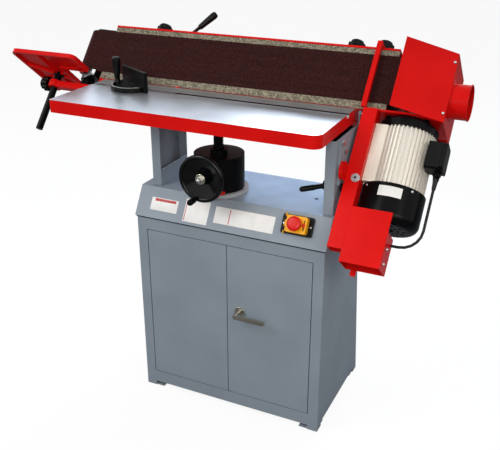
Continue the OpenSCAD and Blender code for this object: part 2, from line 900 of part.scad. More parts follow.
module table_casting() color(red) difference() {
    union() {
        translate([0, 0, table_z - plate_t]) linear_extrude(plate_t) table_outline(0);
        translate([0, 0, table_z - table_h]) linear_extrude(table_h) difference() {
            table_outline(0);
            table_outline(apron_t);
        }
        block([table_left, slot_y - slot_rib_w / 2, table_z - slot_d - 2 * slot_bed],
              [table_right, slot_y + slot_rib_w / 2, table_z - plate_t / 2]);
        difference() {
            for (s = rib_shares)
                translate([table_left + s * table_l - rib_t / 2, table_front + apron_t / 2,
                        table_z - plate_t - rib_h])
                    cube([rib_t, table_d - apron_t, rib_h + over]);
            translate([lift_x, lift_y, table_z - 2 * table_h])
                cylinder(r = post_flange_r + rib_t, h = 2 * table_h);
        }
        translate([lift_x, lift_y, table_z - plate_t]) cylinder(r = post_flange_r + gap, h = plate_t / 2);
    }
    block([table_left - over, slot_y - slot_w / 2, table_z - slot_d],
          [table_right + over, slot_y + slot_w / 2, table_z + over]);
    translate([lift_x, lift_y, table_z - 2 * table_h])
        cylinder(r = post_flange_r + gap, h = 2 * table_h - plate_t);
}

module mitre_bar() color(steel) {
    block([bar_left, slot_y - slot_w / 2 + gap, table_z - slot_d + gap],
          [bar_left + bar_l, slot_y + slot_w / 2 - gap, table_z - gap]);
    translate([mitre_x, slot_y, table_z - slot_d / 2]) cylinder(r = stud_r, h = slot_d / 2 + disc_t);
    translate([mitre_x - clamp_slot_r, slot_y, table_z - slot_d / 2])
        cylinder(r = stud_r * 0.8, h = slot_d / 2 + disc_t + over);
}

// Half-disc head with its curved slot and the fence, turned from square
module mitre_head() color(black) translate([mitre_x, slot_y, table_z + gap]) rotate(mitre_turn)
        difference() {
    union() {
        linear_extrude(disc_t) difference() {
            circle(disc_r, $fn = 96);
            translate([0, -2 * disc_r]) square([2 * disc_r, 4 * disc_r]);
            intersection() {
                difference() {
                    circle(clamp_slot_r + clamp_slot_w / 2);
                    circle(clamp_slot_r - clamp_slot_w / 2);
                }
                polygon([[0, 0], [-4 * disc_r * cos(arc_half), 4 * disc_r * sin(arc_half)],
                        [-4 * disc_r, 4 * disc_r],
                         [-4 * disc_r, -4 * disc_r], [-4 * disc_r * cos(arc_half),
                                 -4 * disc_r * sin(arc_half)]]);
            }
        }
        block([0, -fence_front, 0], [fence_t, fence_back, fence_h]);
        cylinder(r = 2 * stud_r, h = disc_t);
    }
    translate([0, 0, -over]) cylinder(r = stud_r + run, h = disc_t + 2 * over);
}

// Turned handle that clamps the head to the bar
module mitre_handle() color(black) translate([mitre_x - clamp_slot_r, slot_y, table_z + gap + disc_t + gap])
    difference() {
        rotate_extrude() polygon([
            [0, 0], [handle_r * 0.85, 0], [handle_neck_r, handle_h * 0.1], [handle_neck_r, handle_h * 0.16],
            [handle_r * 0.8, handle_h * 0.4], [handle_r, handle_h * 0.75], [handle_r, handle_h * 0.94],
            [handle_r * 0.75, handle_h], [0, handle_h]
        ]);
        translate([0, 0, -over]) cylinder(r = stud_r * 0.8 + run, h = 2 * over);
    }

module switch_plate() color(black) on_fascia() translate([switch_x, switch_s, 0]) difference() {
    union() {
        translate([-switch_w / 2, -switch_d / 2, 0]) linear_extrude(switch_t)
            round_rect(switch_w, switch_d, switch_t);
        translate([-well_w / 2 + gap, -well_d / 2 + gap, -button_h - switch_t])
            cube([well_w - 2 * gap, well_d - 2 * gap, button_h + 2 * switch_t]);
        for (s = [-1, 1]) translate([-lid_w / 2 - 3 * lid_pin_r, s * lid_pin_l / 2 - 2 * lid_pin_r, 0])
            cube([4 * lid_pin_r, 4 * lid_pin_r, switch_t + 4 * lid_pin_r]);
    }
    for (s = [-1, 1]) translate([s * button_pitch / 2, 0, -button_h - switch_t / 2])
        cylinder(r = button_r + gap, h = 2 * button_h + 2 * switch_t);
    for (s = [-1, 1]) translate([s * button_pitch / 2, 0, -2 * button_h])
        cylinder(r = button_stem_r, h = 2 * button_h);
    translate([-lid_w / 2 - lid_pin_r, -lid_pin_l, switch_t + 2 * lid_pin_r]) ycyl(lid_pin_r + run,
            2 * lid_pin_l);
}

// Yellow flip cover on its hinge pin, with a collar for the stop mushroom
module switch_lid() color(yellow) on_fascia() translate([switch_x, switch_s, switch_t + gap]) {
    difference() {
        translate([-lid_w / 2 + 2 * lid_pin_r, -lid_d / 2, 0]) linear_extrude(lid_t)
            round_rect(lid_w - 2 * lid_pin_r, lid_d, lid_wall * 2);
        translate([-lid_w / 2 + 2 * lid_pin_r + lid_wall, -lid_d / 2 + lid_wall, -over])
            cube([lid_w - 2 * lid_pin_r - 2 * lid_wall, lid_d - 2 * lid_wall, lid_t - lid_wall + over]);
        cylinder(r = mush_neck_r + gap, h = lid_t + over);
    }
    difference() {
        union() {
            translate([-lid_w / 2 - lid_pin_r, -lid_pin_l, 2 * lid_pin_r - gap])
                ycyl(lid_pin_r, 2 * lid_pin_l);
            translate([-lid_w / 2 - lid_pin_r, -lid_pin_l / 4, 0.5 * lid_pin_r])
                cube([4 * lid_pin_r, lid_pin_l / 2, 3 * lid_pin_r]);
        }
    }
}

module switch_mushroom() color(red) on_fascia() translate([switch_x, switch_s, switch_t + lid_t]) {
    translate([0, 0, -lid_wall - 2 * gap]) cylinder(r = mush_neck_r, h = lid_wall + button_rise + 2 * gap);
    translate([0, 0, -lid_wall - 2 * gap - lid_wall]) cylinder(r = mush_neck_r * 1.4, h = lid_wall);
    translate([0, 0, button_rise]) rotate_extrude() polygon([
        [0, 0], [mush_r * 0.9, 0], [mush_r, mush_h * 0.3], [mush_r, mush_h * 0.6], [mush_r * 0.8,
                mush_h * 0.9],
        [mush_r * 0.4, mush_h], [0, mush_h]
    ]);
}

module push_button(side) on_fascia() translate([switch_x + side * button_pitch / 2, switch_s, 0]) {
    translate([0, 0, switch_t - button_h]) cylinder(r = button_r, h = button_h + button_rise);
    translate([0, 0, -1.4 * button_h]) cylinder(r = button_stem_r - gap, h = 1.4 * button_h);
}

module start_button() color([0.1, 0.5, 0.15]) push_button(-1);

module stop_button() color(red) push_button(1);

// Belt frame: a web behind the pad between two flanges, and the plate that carries the motor
module belt_frame() color(red) head() difference() {
    union() {
        block([frame_left, flange_front, flange_low], [frame_right, guard_y, flange_low + flange_t]);
        block([frame_left, flange_front, flange_high - flange_t], [frame_right, guard_y, flange_high]);
        block([frame_left, web_y, flange_low], [frame_right, web_y + web_t, flange_high]);
        translate([0, 0, flange_low]) linear_extrude(motor_plate_t) polygon([
            [frame_right - over, motor_plate_y0], [drive_x, motor_plate_y0],
            [hood_right - hood_t, hood_side + 4 * hood_t], [hood_right - hood_t, motor_plate_y1],
            [frame_right - over, motor_plate_y1]
        ]);
        difference() {
            for (x = [frame_left + slide_w, lever_x - 4 * slide_w])
                block([x, web_y + web_t, mid_z() - slide_w],
                      [x + slide_w, slide_y + slide_t + web_t, mid_z() + slide_w]);
            block([frame_left, slide_y - gap, mid_z() - slide_w / 2 - gap],
                  [slide_right + slide_w, slide_y + slide_t + gap, mid_z() + slide_w / 2 + gap]);
        }
        block([lug_x - lug_thick, -lug_r, -0.2 * lug_r], [lug_x, lug_r, flange_low + over]);
        translate([lug_x - lug_thick, 0, 0]) xcyl(lug_r, lug_thick);
    }
    translate([drive_x, drive_y, flange_low - over])
        cylinder(r = 2 * rotor_shaft_r, h = motor_plate_t + 2 * over);
    translate([lug_x - 2 * lug_thick, 0, 0]) xcyl(pin_r + run, 3 * lug_thick);
    translate([lever_x, lever_y, flange_high - 2 * flange_t]) cylinder(r = lever_shaft_r + run,
            h = 3 * flange_t);
    for (s = guard_knob_shares)
        translate([frame_left + s * (frame_right - frame_left), guard_knob_y, flange_high - 2 * flange_t])
            cylinder(r = knob_stem_r + run, h = 3 * flange_t);
    translate([stop_x + stop_w / 2, stop_knob_y(), flange_high - 2 * flange_t])
        cylinder(r = knob_stem_r + run, h = 3 * flange_t);
}

function mid_z() = belt_low + belt_w / 2;
function stop_knob_y() = belt_front + stop_leg * 0.55;

module platen_pad() color([0.5, 0.48, 0.42]) head()
    block([frame_left, pad_front, flange_low + flange_t], [frame_right, web_y, flange_high - flange_t]);

// Points of a loop round both drums, standing off them by some thickness
function belt_lean() = 2 * atan2(drive_y - idler_y, drive_x - idler_x);
function wrap(c, r, from, to) = [for (i = [0:wrap_steps]) let (a = from + (to - from) * i / wrap_steps)
    c + r * [cos(a), sin(a)]];
function belt_loop(extra) = concat(
    wrap([drive_x, drive_y], drive_r + extra, -90, 90 + belt_lean()),
    wrap([idler_x, idler_y], idler_r + extra, 90 + belt_lean(), 270)
);

// Belt in one piece: its front run, its return run and its wraps round the drums
module sanding_belt() color([0.23, 0.11, 0.11]) head() translate([0, 0, belt_low]) linear_extrude(belt_w)
    difference() {
        polygon(belt_loop(belt_t));
        polygon(belt_loop(0));
    }

// Sheet cover over the belt's return run, hooked on the lower flange and knobbed to the upper one
module rear_guard() color(red) head() difference() {
    union() {
        block([frame_left, guard_y, flange_low], [frame_right, guard_y + guard_t, flange_high + guard_t]);
        block([frame_left, guard_y - 2 * guard_fold, flange_high], [frame_right, guard_y,
                flange_high + guard_t]);
        block([frame_left, guard_y - guard_fold, flange_low - guard_t],
              [frame_right, guard_y + guard_t, flange_low]);
    }
    for (s = guard_knob_shares)
        translate([frame_left + s * (frame_right - frame_left), guard_knob_y, flange_high - over])
            cylinder(r = knob_stem_r + run, h = guard_t + 2 * over);
    block([lever_x - 2 * lever_hub_r, guard_y - 3 * guard_fold, flange_high - over],
          [lever_x + 2 * lever_hub_r, lever_y + 2 * lever_hub_r, flange_high + guard_t + over]);
    block([stop_x - stop_w, guard_y - 3 * guard_fold, flange_high - over],
          [frame_right + over, belt_front + stop_leg + stop_w, flange_high + guard_t + over]);
    block([arm_x - over, guard_y - 2 * guard_fold, flange_low - 2 * guard_t],
          [frame_right + over, guard_y - guard_t, flange_low]);
}

module hood_outline(inset) {
    slack = inset > 0 ? over : 0;
    slant = inset / cos(hood_angle);
    fall = tan(hood_angle);
    polygon([
        [hood_left - slack, hood_front + slant - slack * fall],
        [hood_right - inset, hood_side + slant - inset * fall],
        [hood_right - inset, hood_rear - inset], [hood_left - slack, hood_rear - inset]
    ]);
}

// Place on the hood's slanting front, measured along it from its right edge
module on_hood_front(back, z) {
    translate([hood_right, hood_side, z]) rotate(hood_angle) translate([-back, 0, 0]) children();
}

// Folded hood with a slanting front, open to the belt on its left and below
module drive_hood() color(red) head() difference() {
    translate([0, 0, hood_low]) linear_extrude(hood_high - hood_low) hood_outline(0);
    translate([0, 0, hood_low - over]) linear_extrude(hood_high - hood_low - hood_t + over)
        hood_outline(hood_t);
    translate([hood_right - 2 * hood_t, port_y, port_z]) xcyl(port_r - port_wall, 3 * hood_t);
    for (z = hood_screw_z()) on_hood_front(hood_lip / 2, z)
        translate([0, -hood_t, 0]) ycyl(bolt_r * 0.5 + gap, 4 * hood_t);
}

function hood_screw_z() = [for (s = hood_screw_shares) hood_low + (hood_high - hood_low) * s];

module dust_port() color(red) head() translate([hood_right, port_y, port_z]) difference() {
    union() {
        xcyl(port_r, port_l);
        xcyl(port_r + 4 * port_wall, port_wall);
    }
    translate([-over, 0, 0]) xcyl(port_r - port_wall, port_l + 2 * over);
}

// Drive drum on the motor's shaft, with its end plates
module drive_drum() color(steel) head() translate([drive_x, drive_y, 0]) {
    difference() {
        translate([0, 0, belt_low - belt_t]) cylinder(r = drive_r - gap, h = belt_w + 2 * belt_t, $fn = 96);
        for (z = [belt_low - 2 * belt_t, belt_high - 8 * belt_t])
            translate([0, 0, z]) difference() {
                cylinder(r = drive_r - 5 * belt_t, h = 10 * belt_t);
                translate([0, 0, -over]) cylinder(r = 2 * rotor_shaft_r, h = 10 * belt_t + 2 * over);
            }
    }
    translate([0, 0, stator_low - fan_l * 0.7]) cylinder(r = rotor_shaft_r,
            h = belt_low - stator_low + fan_l * 0.7);
}

// Cast end shield on the drive side, flanged to the frame's motor plate
module motor_bell() color(black) head() translate([drive_x, drive_y, bell_top - bell_h]) {
    rotate_extrude() polygon([
        [rotor_shaft_r + run, 0], [motor_r + over, 0], [motor_r + over, bell_h * 0.6],
        [motor_r * 0.84, bell_h], [rotor_shaft_r + run, bell_h]
    ]);
    for (a = [45:90:315]) rotate(a) translate([motor_r * 0.9, 0, bell_h * 0.3])
        cylinder(r = 2 * bolt_r, h = bell_h * 0.6);
}

// Finned aluminium body with the flat pad of its foot
module motor_stator() color(alu) head() difference() {
    translate([drive_x, drive_y, stator_low]) linear_extrude(stator_l) {
        circle(motor_r - fin_h, $fn = 96);
        for (i = [0:fin_count - 1]) rotate(360 * i / fin_count)
            translate([motor_r - 2 * fin_h, -fin_t / 2]) square([2 * fin_h, fin_t]);
        translate([motor_foot_x - drive_x, motor_foot_y - drive_y]) square([motor_foot_w, motor_foot_d]);
    }
    translate([drive_x, drive_y, stator_low - over])
        cylinder(r = rotor_shaft_r + gap, h = stator_l + 2 * over);
    translate([box_x, box_y - over, box_z]) cube([box_w, box_d + 2 * over, box_h]);
}

// Plastic fan inside the cover, on the shaft's tail
module motor_fan() color(black) head() translate([drive_x, drive_y,
        stator_low - fan_h - fan_round / 2]) difference() {
    union() {
        cylinder(r = fan_hub_r, h = fan_h);
        translate([0, 0, fan_h - vane_t]) cylinder(r = fan_r, h = vane_t);
        for (i = [0:vane_count - 1]) rotate(360 * i / vane_count)
            translate([fan_hub_r - over, -vane_t / 2, 0]) cube([fan_r - fan_hub_r, vane_t, fan_h]);
    }
    translate([0, 0, -over]) cylinder(r = rotor_shaft_r, h = fan_h + 2 * over);
}

// Deep-drawn fan cover with a rounded end and rings of air slots
module fan_cover() color(black) head() translate([drive_x, drive_y, fan_low]) difference() {
    cover_half(cover_r, fan_l, fan_round);
    translate([0, 0, fan_wall]) cover_half(cover_r - fan_wall, fan_l, fan_round - fan_wall);
    for (ring = [0:2], i = [0:11]) rotate(30 * i)
        translate([fan_hub_r + ring * motor_r * 0.2, 0, -over]) cylinder(r = motor_r * 0.06,
                h = 3 * fan_wall, $fn = 16);
}

module cover_half(r, h, round) rotate_extrude() {
    square([r - round, h]);
    translate([0, round]) square([r, h - round]);
    translate([r - round, round]) circle(round);
}

// Terminal box on the motor's side, with its lid and gland
module terminal_box() color(black) head() {
    lid = box_w * 0.25;
    translate([box_x, box_y, box_z]) {
        rotate([90, 0, 90]) linear_extrude(box_w - lid) round_rect(box_d, box_h, gland_r);
        translate([box_w - lid, 0, 0]) rotate([90, 0, 90]) linear_extrude(lid) translate([over, over])
            round_rect(box_d - 2 * over, box_h - 2 * over, gland_r);
    }
    translate([lead_route[0][0], lead_route[0][1], box_z - gland_l]) difference() {
        union() {
            cylinder(r = gland_r, h = gland_l + over);
            translate([0, 0, gland_l / 2]) cylinder(r = gland_r * 1.3, h = gland_l / 2, $fn = 6);
        }
        translate([0, 0, -over]) cylinder(r = lead_r + gap, h = gland_l);
    }
}

function lead_dir(i) = let (n = len(lead_route) - 1, d = lead_route[min(i + 1, n)]
        - lead_route[max(i - 1, 0)]) d / norm(d);
function lead_side(d) = let (s = cross(d, [0, 1, 0])) s / norm(s);

// Lead from the terminal box's gland to the junction box
module motor_lead() color(black) head() {
    n = len(lead_route);
    rings = [for (i = [0:n - 1]) let (d = lead_dir(i), s = lead_side(d), t = cross(d, s))
        for (k = [0:lead_sides - 1]) let (a = 360 * k / lead_sides)
            lead_route[i] + lead_r * (cos(a) * s + sin(a) * t)];
    walls = [for (i = [0:n - 2], k = [0:lead_sides - 1]) let (m = (k + 1) % lead_sides, a = i * lead_sides)
        each [[a + k, a + lead_sides + k, a + m], [a + m, a + lead_sides + k, a + lead_sides + m]]];
    first = [for (k = [1:lead_sides - 2]) [0, k, k + 1]];
    last_ring = (n - 1) * lead_sides;
    last = [for (k = [1:lead_sides - 2]) [last_ring, last_ring + k + 1, last_ring + k]];
    polyhedron(rings, concat(walls, first, last));
}

// Box-section arm under the frame, with the bush for the right pivot pin
module tilt_arm() color(red) head() difference() {
    union() {
        difference() {
            block([arm_x, arm_front, arm_low], [arm_x + arm_w, arm_front + arm_d, arm_top]);
            block([arm_x + arm_wall, arm_front + arm_wall, arm_low - over],
                  [arm_x + arm_w - arm_wall, arm_front + arm_d - arm_wall, arm_top - arm_wall]);
        }
        intersection() {
            translate([arm_x, 0, 0]) xcyl(2 * pin_r, arm_w);
            block([arm_x, arm_front, -arm_l], [arm_x + arm_w, arm_front + arm_d, arm_top]);
        }
    }
    translate([arm_x - over, 0, 0]) xcyl(pin_r + run, arm_w * 0.6 + over + gap);
    translate([arm_x + arm_w * 0.7, arm_front - over, arm_low + arm_l * 0.49])
        ycyl(bolt_r * 0.8 + gap, arm_wall + 2 * over);
    for (s = arm_screw_shares)
        translate([arm_x + arm_w - 2 * arm_wall, arm_front + arm_d / 2, jbox_top - s * jbox_h])
            xcyl(bolt_r * 0.5 + gap, 3 * arm_wall);
}

// Folded box open below, screwed to the arm's side; its front plate rises before the fan cover
module junction_box() color(red) head() difference() {
    union() {
        block([jbox_x, arm_front, jbox_top - jbox_h], [jbox_x + jbox_w, arm_front + jbox_t, jbox_top]);
        difference() {
            block([jbox_x, arm_front, jbox_top - jbox_h], [jbox_x + jbox_w, arm_front + jbox_d, jbox_shelf]);
            block([jbox_x + jbox_t, arm_front + jbox_t, jbox_top - jbox_h - over],
                  [jbox_x + jbox_w - jbox_t, arm_front + jbox_d - jbox_t, jbox_shelf - jbox_t]);
        }
        block([jbox_x + jbox_w * 0.15, arm_front + jbox_d - jbox_t, jbox_top - jbox_h - 2 * bolt_head_r],
              [jbox_x + jbox_w * 0.3, arm_front + jbox_d, jbox_top - jbox_h + over]);
    }
    translate([jbox_x + jbox_w - 2 * jbox_t, lead_end()[1], lead_end()[2]]) xcyl(lead_r + gap, 3 * jbox_t);
    for (s = jbox_bolt_shares)
        translate([jbox_x + jbox_w - 2 * jbox_t, arm_front + jbox_d * 0.4, jbox_top - s * jbox_h])
            xcyl(bolt_r * 0.5 + gap, 3 * jbox_t);
    for (s = arm_screw_shares)
        translate([jbox_x - jbox_t, arm_front + arm_d / 2, jbox_top - s * jbox_h])
            xcyl(bolt_r * 0.5 + gap, 3 * jbox_t);
}

function lead_end() = lead_route[len(lead_route) - 1];

// Dome-headed screw along +X, its head's seat at the origin
module dome_screw_x(r, grip) {
    translate([-grip, 0, 0]) xcyl(r, grip);
    intersection() {
        scale(2 * r) sphere(1);
        xcyl(2 * r, 2 * r);
    }
}

module head_bolts() color(steel) head() {
    for (s = jbox_bolt_shares)
        translate([jbox_x + jbox_w, arm_front + jbox_d * 0.4, jbox_top - s * jbox_h])
            dome_screw_x(bolt_r * 0.5, 4 * jbox_t);
    for (s = arm_screw_shares)
        translate([jbox_x + jbox_t, arm_front + arm_d / 2, jbox_top - s * jbox_h])
            dome_screw_x(bolt_r * 0.5, jbox_t + arm_wall + over);
    for (z = hood_screw_z()) on_hood_front(hood_lip / 2, z) rotate(-90) dome_screw_x(bolt_r * 0.5,
            4 * hood_t);
    translate([arm_x + arm_w * 0.7, arm_front, arm_low + arm_l * 0.49]) rotate([0, 0, -90]) difference() {
        union() {
            translate([-2 * arm_wall, 0, 0]) xcyl(bolt_r * 0.8, 2 * arm_wall);
            xcyl(bolt_head_r * 0.9, bolt_r * 0.8);
        }
        xcyl(bolt_r * 0.5, 2 * bolt_r, 6);
    }
}

// Sliding fork: a bar in the frame's guides, an end plate and two arms that hold the axle
module idler_fork() color(black) head() difference() {
    low = belt_low - fork_arm_gap - fork_low_t;
    high = belt_high + fork_arm_gap;
    union() {
        block([fork_plate_x, slide_y, mid_z() - slide_w / 2], [slide_right, slide_y + slide_t, mid_z()
                + slide_w / 2]);
        block([lever_x - yoke_half, slide_y, mid_z() - slide_w / 2], [slide_right, yoke_y, mid_z() + slide_w / 2]);
        block([fork_plate_x - fork_plate_t, fork_y0, low], [fork_plate_x, fork_y1, high + fork_arm_t]);
        translate([0, 0, high]) linear_extrude(fork_arm_t) {
            translate([idler_x, idler_y]) circle(fork_end_r);
            polygon([[idler_x, idler_y - fork_end_r], [fork_plate_x, fork_y0],
                     [fork_plate_x, fork_y1], [idler_x, idler_y + fork_end_r]]);
        }
        translate([0, 0, low]) linear_extrude(fork_low_t) {
            translate([idler_x, idler_y]) circle(fork_end_r);
            polygon([[idler_x - fork_end_r * 0.87, idler_y - fork_end_r / 2],
                    [fork_plate_x - 2 * fork_plate_t, fork_nose],
                     [fork_plate_x, fork_nose], [fork_plate_x, fork_y1], [idler_x, idler_y + fork_end_r]]);
        }
    }
    translate([idler_x, idler_y, low - over]) cylinder(r = axle_r, h = high + fork_arm_t - low + 2 * over);
    block([lever_x - crank_pin - crank_play, lever_y - crank_throw - crank_pin - crank_play, mid_z()
            - slide_w],
          [lever_x + crank_pin + crank_play, lever_y + crank_pin - crank_play, mid_z() + slide_w]);
}

module idler_axle() color(steel) head()
    translate([idler_x, idler_y, belt_low - fork_arm_gap - fork_low_t])
        cylinder(r = axle_r, h = belt_w + 2 * fork_arm_gap + fork_arm_t + fork_low_t);

module idler_drum() color(steel) head() translate([idler_x, idler_y, belt_low - belt_t]) difference() {
    cylinder(r = idler_r - gap, h = belt_w + 2 * belt_t, $fn = 96);
    translate([0, 0, -over]) cylinder(r = axle_r + run, h = belt_w + 2 * belt_t + 2 * over);
}

module tracking_knob() color(black) head()
    translate([idler_x, idler_y, belt_low - fork_arm_gap - fork_low_t - gap]) mirror([0, 0, 1])
        star_knob(track_r, track_h, knob_lobes);

// Quick-release lever: its shaft's crank pin works in the fork bar's cross slot
module tension_lever() color(black) head() translate([lever_x, lever_y, 0]) {
    web = mid_z() + slide_w / 2 + crank_play;
    translate([0, 0, flange_high + gap]) cylinder(r = lever_hub_r, h = lever_hub_h);
    translate([0, 0, web]) cylinder(r = lever_shaft_r, h = flange_high - web + lever_hub_h);
    block([-crank_pin, -crank_throw, web], [crank_pin, 0, web + fork_plate_t]);
    translate([0, -crank_throw, mid_z() - slide_w / 2]) cylinder(r = crank_pin,
            h = web + fork_plate_t - mid_z() + slide_w / 2);
    translate([0, 0, flange_high + lever_hub_h * 0.5]) rotate([0, tension_lean, 0]) {
        cylinder(r = tension_r * 0.8, h = tension_len);
        translate([0, 0, tension_len * 0.4]) rotate_extrude() polygon([
            [0, 0], [tension_r, 0], [tension_grip_r, tension_len * 0.5], [tension_grip_r,
                    tension_len * 0.56],
            [tension_r * 0.9, tension_len * 0.6], [0, tension_len * 0.6]
        ]);
    }
}

// Inverted-L stop across the belt, slotted where its knob clamps it
module stop_bar() color(red) head() difference() {
    top = stop_top();
    union() {
        block([stop_x, belt_front - stop_off - stop_t, stop_low], [stop_x + stop_w,
                belt_front - stop_off, top]);
        block([stop_x, belt_front - stop_off - stop_t, flange_high + gap],
              [stop_x + stop_w, belt_front + stop_leg, top]);
    }
    translate([stop_x + stop_w / 2, stop_knob_y(), flange_high - over]) linear_extrude(2 * stop_t) {
        translate([-knob_stem_r - gap, 0]) square([2 * knob_stem_r + 2 * gap, stop_slot_l * 0.7]);
        circle(knob_stem_r + gap);
        translate([0, stop_slot_l * 0.7]) circle(knob_stem_r + gap);
    }
}

function stop_top() = flange_high + gap + stop_t * 0.7;

// Knob with the stem that passes through the flange
module flange_knob(x, y, seat) head() translate([x, y, seat + gap]) {
    star_knob(knob_r, knob_h, knob_lobes);
    translate([0, 0, flange_high - flange_t - seat - 2 * gap]) cylinder(r = knob_stem_r,
            h = seat - flange_high + flange_t + 3 * gap);
}

module stop_knob() color(black) flange_knob(stop_x + stop_w / 2, stop_knob_y(), stop_top());

module left_guard_knob() color(black)
    flange_knob(frame_left + guard_knob_shares[0] * (frame_right - frame_left), guard_knob_y,
            flange_high + guard_t);

module right_guard_knob() color(black)
    flange_knob(frame_left + guard_knob_shares[1] * (frame_right - frame_left), guard_knob_y,
            flange_high + guard_t);

// Bracket that drops from the frame's left end to the end table's post
module end_bracket() color(red) head() difference() {
    low = end_hub_top - end_hub_h;
    union() {
        block([frame_left, end_post_y - bracket_d / 2, low], [bracket_right,
                end_post_y + bracket_d / 2, flange_low]);
        block([end_post_x, end_post_y - bracket_d / 2, low], [bracket_right,
                end_post_y + bracket_d / 2, low + bracket_h]);
        translate([end_post_x, end_post_y, low]) cylinder(r = end_hub_r, h = end_hub_h);
    }
    translate([end_post_x, end_post_y, low - over]) cylinder(r = end_post_r + run, h = end_hub_h + 2 * over);
    translate([end_post_x - 2 * end_hub_r, end_post_y, low + end_hub_h / 2]) xcyl(knob_stem_r + run,
            2 * end_hub_r);
}

module end_outline(inset) {
    left = end_right - end_l + inset;
    front = end_front + inset;
    back = end_front + end_d - inset;
    r = end_corner_r;
    difference() {
        translate([left, front]) round_rect(end_l - 2 * inset, end_d - 2 * inset, r);
        translate([notch_x - inset, notch_y - inset]) square([end_l, end_d]);
    }
}

// Cast end table: plate, rim, ribs and the boss for its post
module end_table() color(red) head() {
    translate([0, 0, end_top - end_plate_t]) linear_extrude(end_plate_t) end_outline(0);
    translate([0, 0, end_top - end_rim_h]) linear_extrude(end_rim_h - over) difference() {
        end_outline(0);
        end_outline(end_rim_t);
    }
    translate([0, 0, end_top - end_rim_h]) difference() {
        linear_extrude(end_rim_h - over) intersection() {
            end_outline(over);
            translate([end_post_x, end_post_y]) for (a = [30:60:330]) rotate(a)
                translate([0, -end_rim_t / 2]) square([end_l, end_rim_t]);
        }
        translate([end_post_x, end_post_y, -over]) cylinder(r = end_boss_r + gap, h = end_rim_h);
    }
}

module end_post() color(black) head() translate([end_post_x, end_post_y, end_top - end_plate_t])
        mirror([0, 0, 1]) {
    cylinder(r = end_post_r, h = end_post_l);
    cylinder(r = end_boss_r, h = end_rim_h * 0.7);
}

module end_knob() color(black) head()
    translate([end_post_x - end_hub_r - gap, end_post_y, end_hub_top - end_hub_h / 2]) rotate([0, -90, 0]) {
        star_knob(end_knob_r, end_knob_l * 0.7, knob_lobes);
        translate([0, 0, -end_hub_r + end_post_r]) cylinder(r = knob_stem_r,
                h = end_hub_r - end_post_r + over);
    }

cabinet_shell();
fascia_housing();
left_door();
right_door();
latch_rosette();
latch_handle();
left_column();
right_column();
left_trunnion();
right_trunnion();
frame_bolts();
pivot_pins();
tilt_boss();
tilt_lever();
lift_housing();
lift_lock();
lift_post();
handwheel();
wheel_shaft();
lift_pinion();
crank_grip();
table_casting();
mitre_bar();
mitre_head();
mitre_handle();
switch_plate();
switch_lid();
switch_mushroom();
start_button();
stop_button();
belt_frame();
platen_pad();
sanding_belt();
rear_guard();
drive_hood();
dust_port();
drive_drum();
motor_bell();
motor_stator();
motor_fan();
fan_cover();
terminal_box();
motor_lead();
tilt_arm();
junction_box();
head_bolts();
idler_fork();
idler_axle();
idler_drum();
tracking_knob();
tension_lever();
stop_bar();
stop_knob();
left_guard_knob();
right_guard_knob();
end_bracket();
end_table();
end_post();
end_knob();
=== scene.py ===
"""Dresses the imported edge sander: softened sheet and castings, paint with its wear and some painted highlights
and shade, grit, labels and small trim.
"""

from __future__ import annotations

import json
import logging
import math
from dataclasses import dataclass
from enum import Enum, auto
from typing import Any, Callable, Sequence

import bmesh
import bpy
from mathutils import Matrix, Vector


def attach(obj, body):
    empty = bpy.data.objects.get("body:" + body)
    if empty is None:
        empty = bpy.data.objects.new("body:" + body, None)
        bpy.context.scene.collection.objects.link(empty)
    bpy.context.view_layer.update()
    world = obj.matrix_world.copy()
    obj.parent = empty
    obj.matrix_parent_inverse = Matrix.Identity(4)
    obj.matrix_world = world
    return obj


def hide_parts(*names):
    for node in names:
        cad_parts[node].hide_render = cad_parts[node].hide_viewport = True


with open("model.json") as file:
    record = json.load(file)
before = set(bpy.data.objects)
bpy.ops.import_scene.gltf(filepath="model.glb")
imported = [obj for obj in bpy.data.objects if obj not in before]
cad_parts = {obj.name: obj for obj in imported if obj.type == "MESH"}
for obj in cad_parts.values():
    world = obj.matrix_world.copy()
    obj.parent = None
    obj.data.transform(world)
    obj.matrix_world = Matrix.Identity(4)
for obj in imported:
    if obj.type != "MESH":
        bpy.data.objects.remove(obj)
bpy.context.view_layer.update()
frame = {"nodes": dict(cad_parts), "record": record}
LOG = logging.getLogger("edge_sander")

MM = 0.001
Point = Sequence[float]
Pair = tuple[float, float]
Triple = tuple[float, float, float]
BMesh = bmesh.types.BMesh
Object = bpy.types.Object
Tree = bpy.types.NodeTree
Socket = bpy.types.NodeSocket
Draw = Callable[[BMesh], None]
BODY_OF = {node: body for body, nodes in frame["record"]["behaviour"]["bodies"].items() for node in nodes}

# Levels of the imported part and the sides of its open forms, in metres.
TABLE_TOP = 0.963
SLOT_DEPTH = 0.011
SLOT_LIP = 0.001
SLOT_Y = -0.022
SLOT_HALF = 0.0102
FLANGE_TOP = 0.7125
CABINET_SIDE = 0.304
CABINET_FRONT = -0.191
CABINET_FLOOR = 0.015
CABINET_TOP = 0.6195
# Places in the tilting head's own frame, in metres: the belt's two axes come first.
IDLER_AXIS = Vector((-0.660, 0.0255))
DRUM_AXIS = Vector((0.441, 0.063))
MOTOR_PLATE_X = 0.38
FORK_NOSE_Y = -0.027
FOOT_RIGHT = 0.397
FOOT_BACK = -0.006


class Region(Enum):
    """Which faces of a copied solid a further finish covers."""

    TOP_PLANE = auto()
    BELOW = auto()
    MITRE_SLOT = auto()
    INSIDE_LOOP = auto()
    UNDER_MOTOR = auto()
    FORK_NOSE = auto()
    MOTOR_FOOT = auto()
    CABINET_INSIDE = auto()


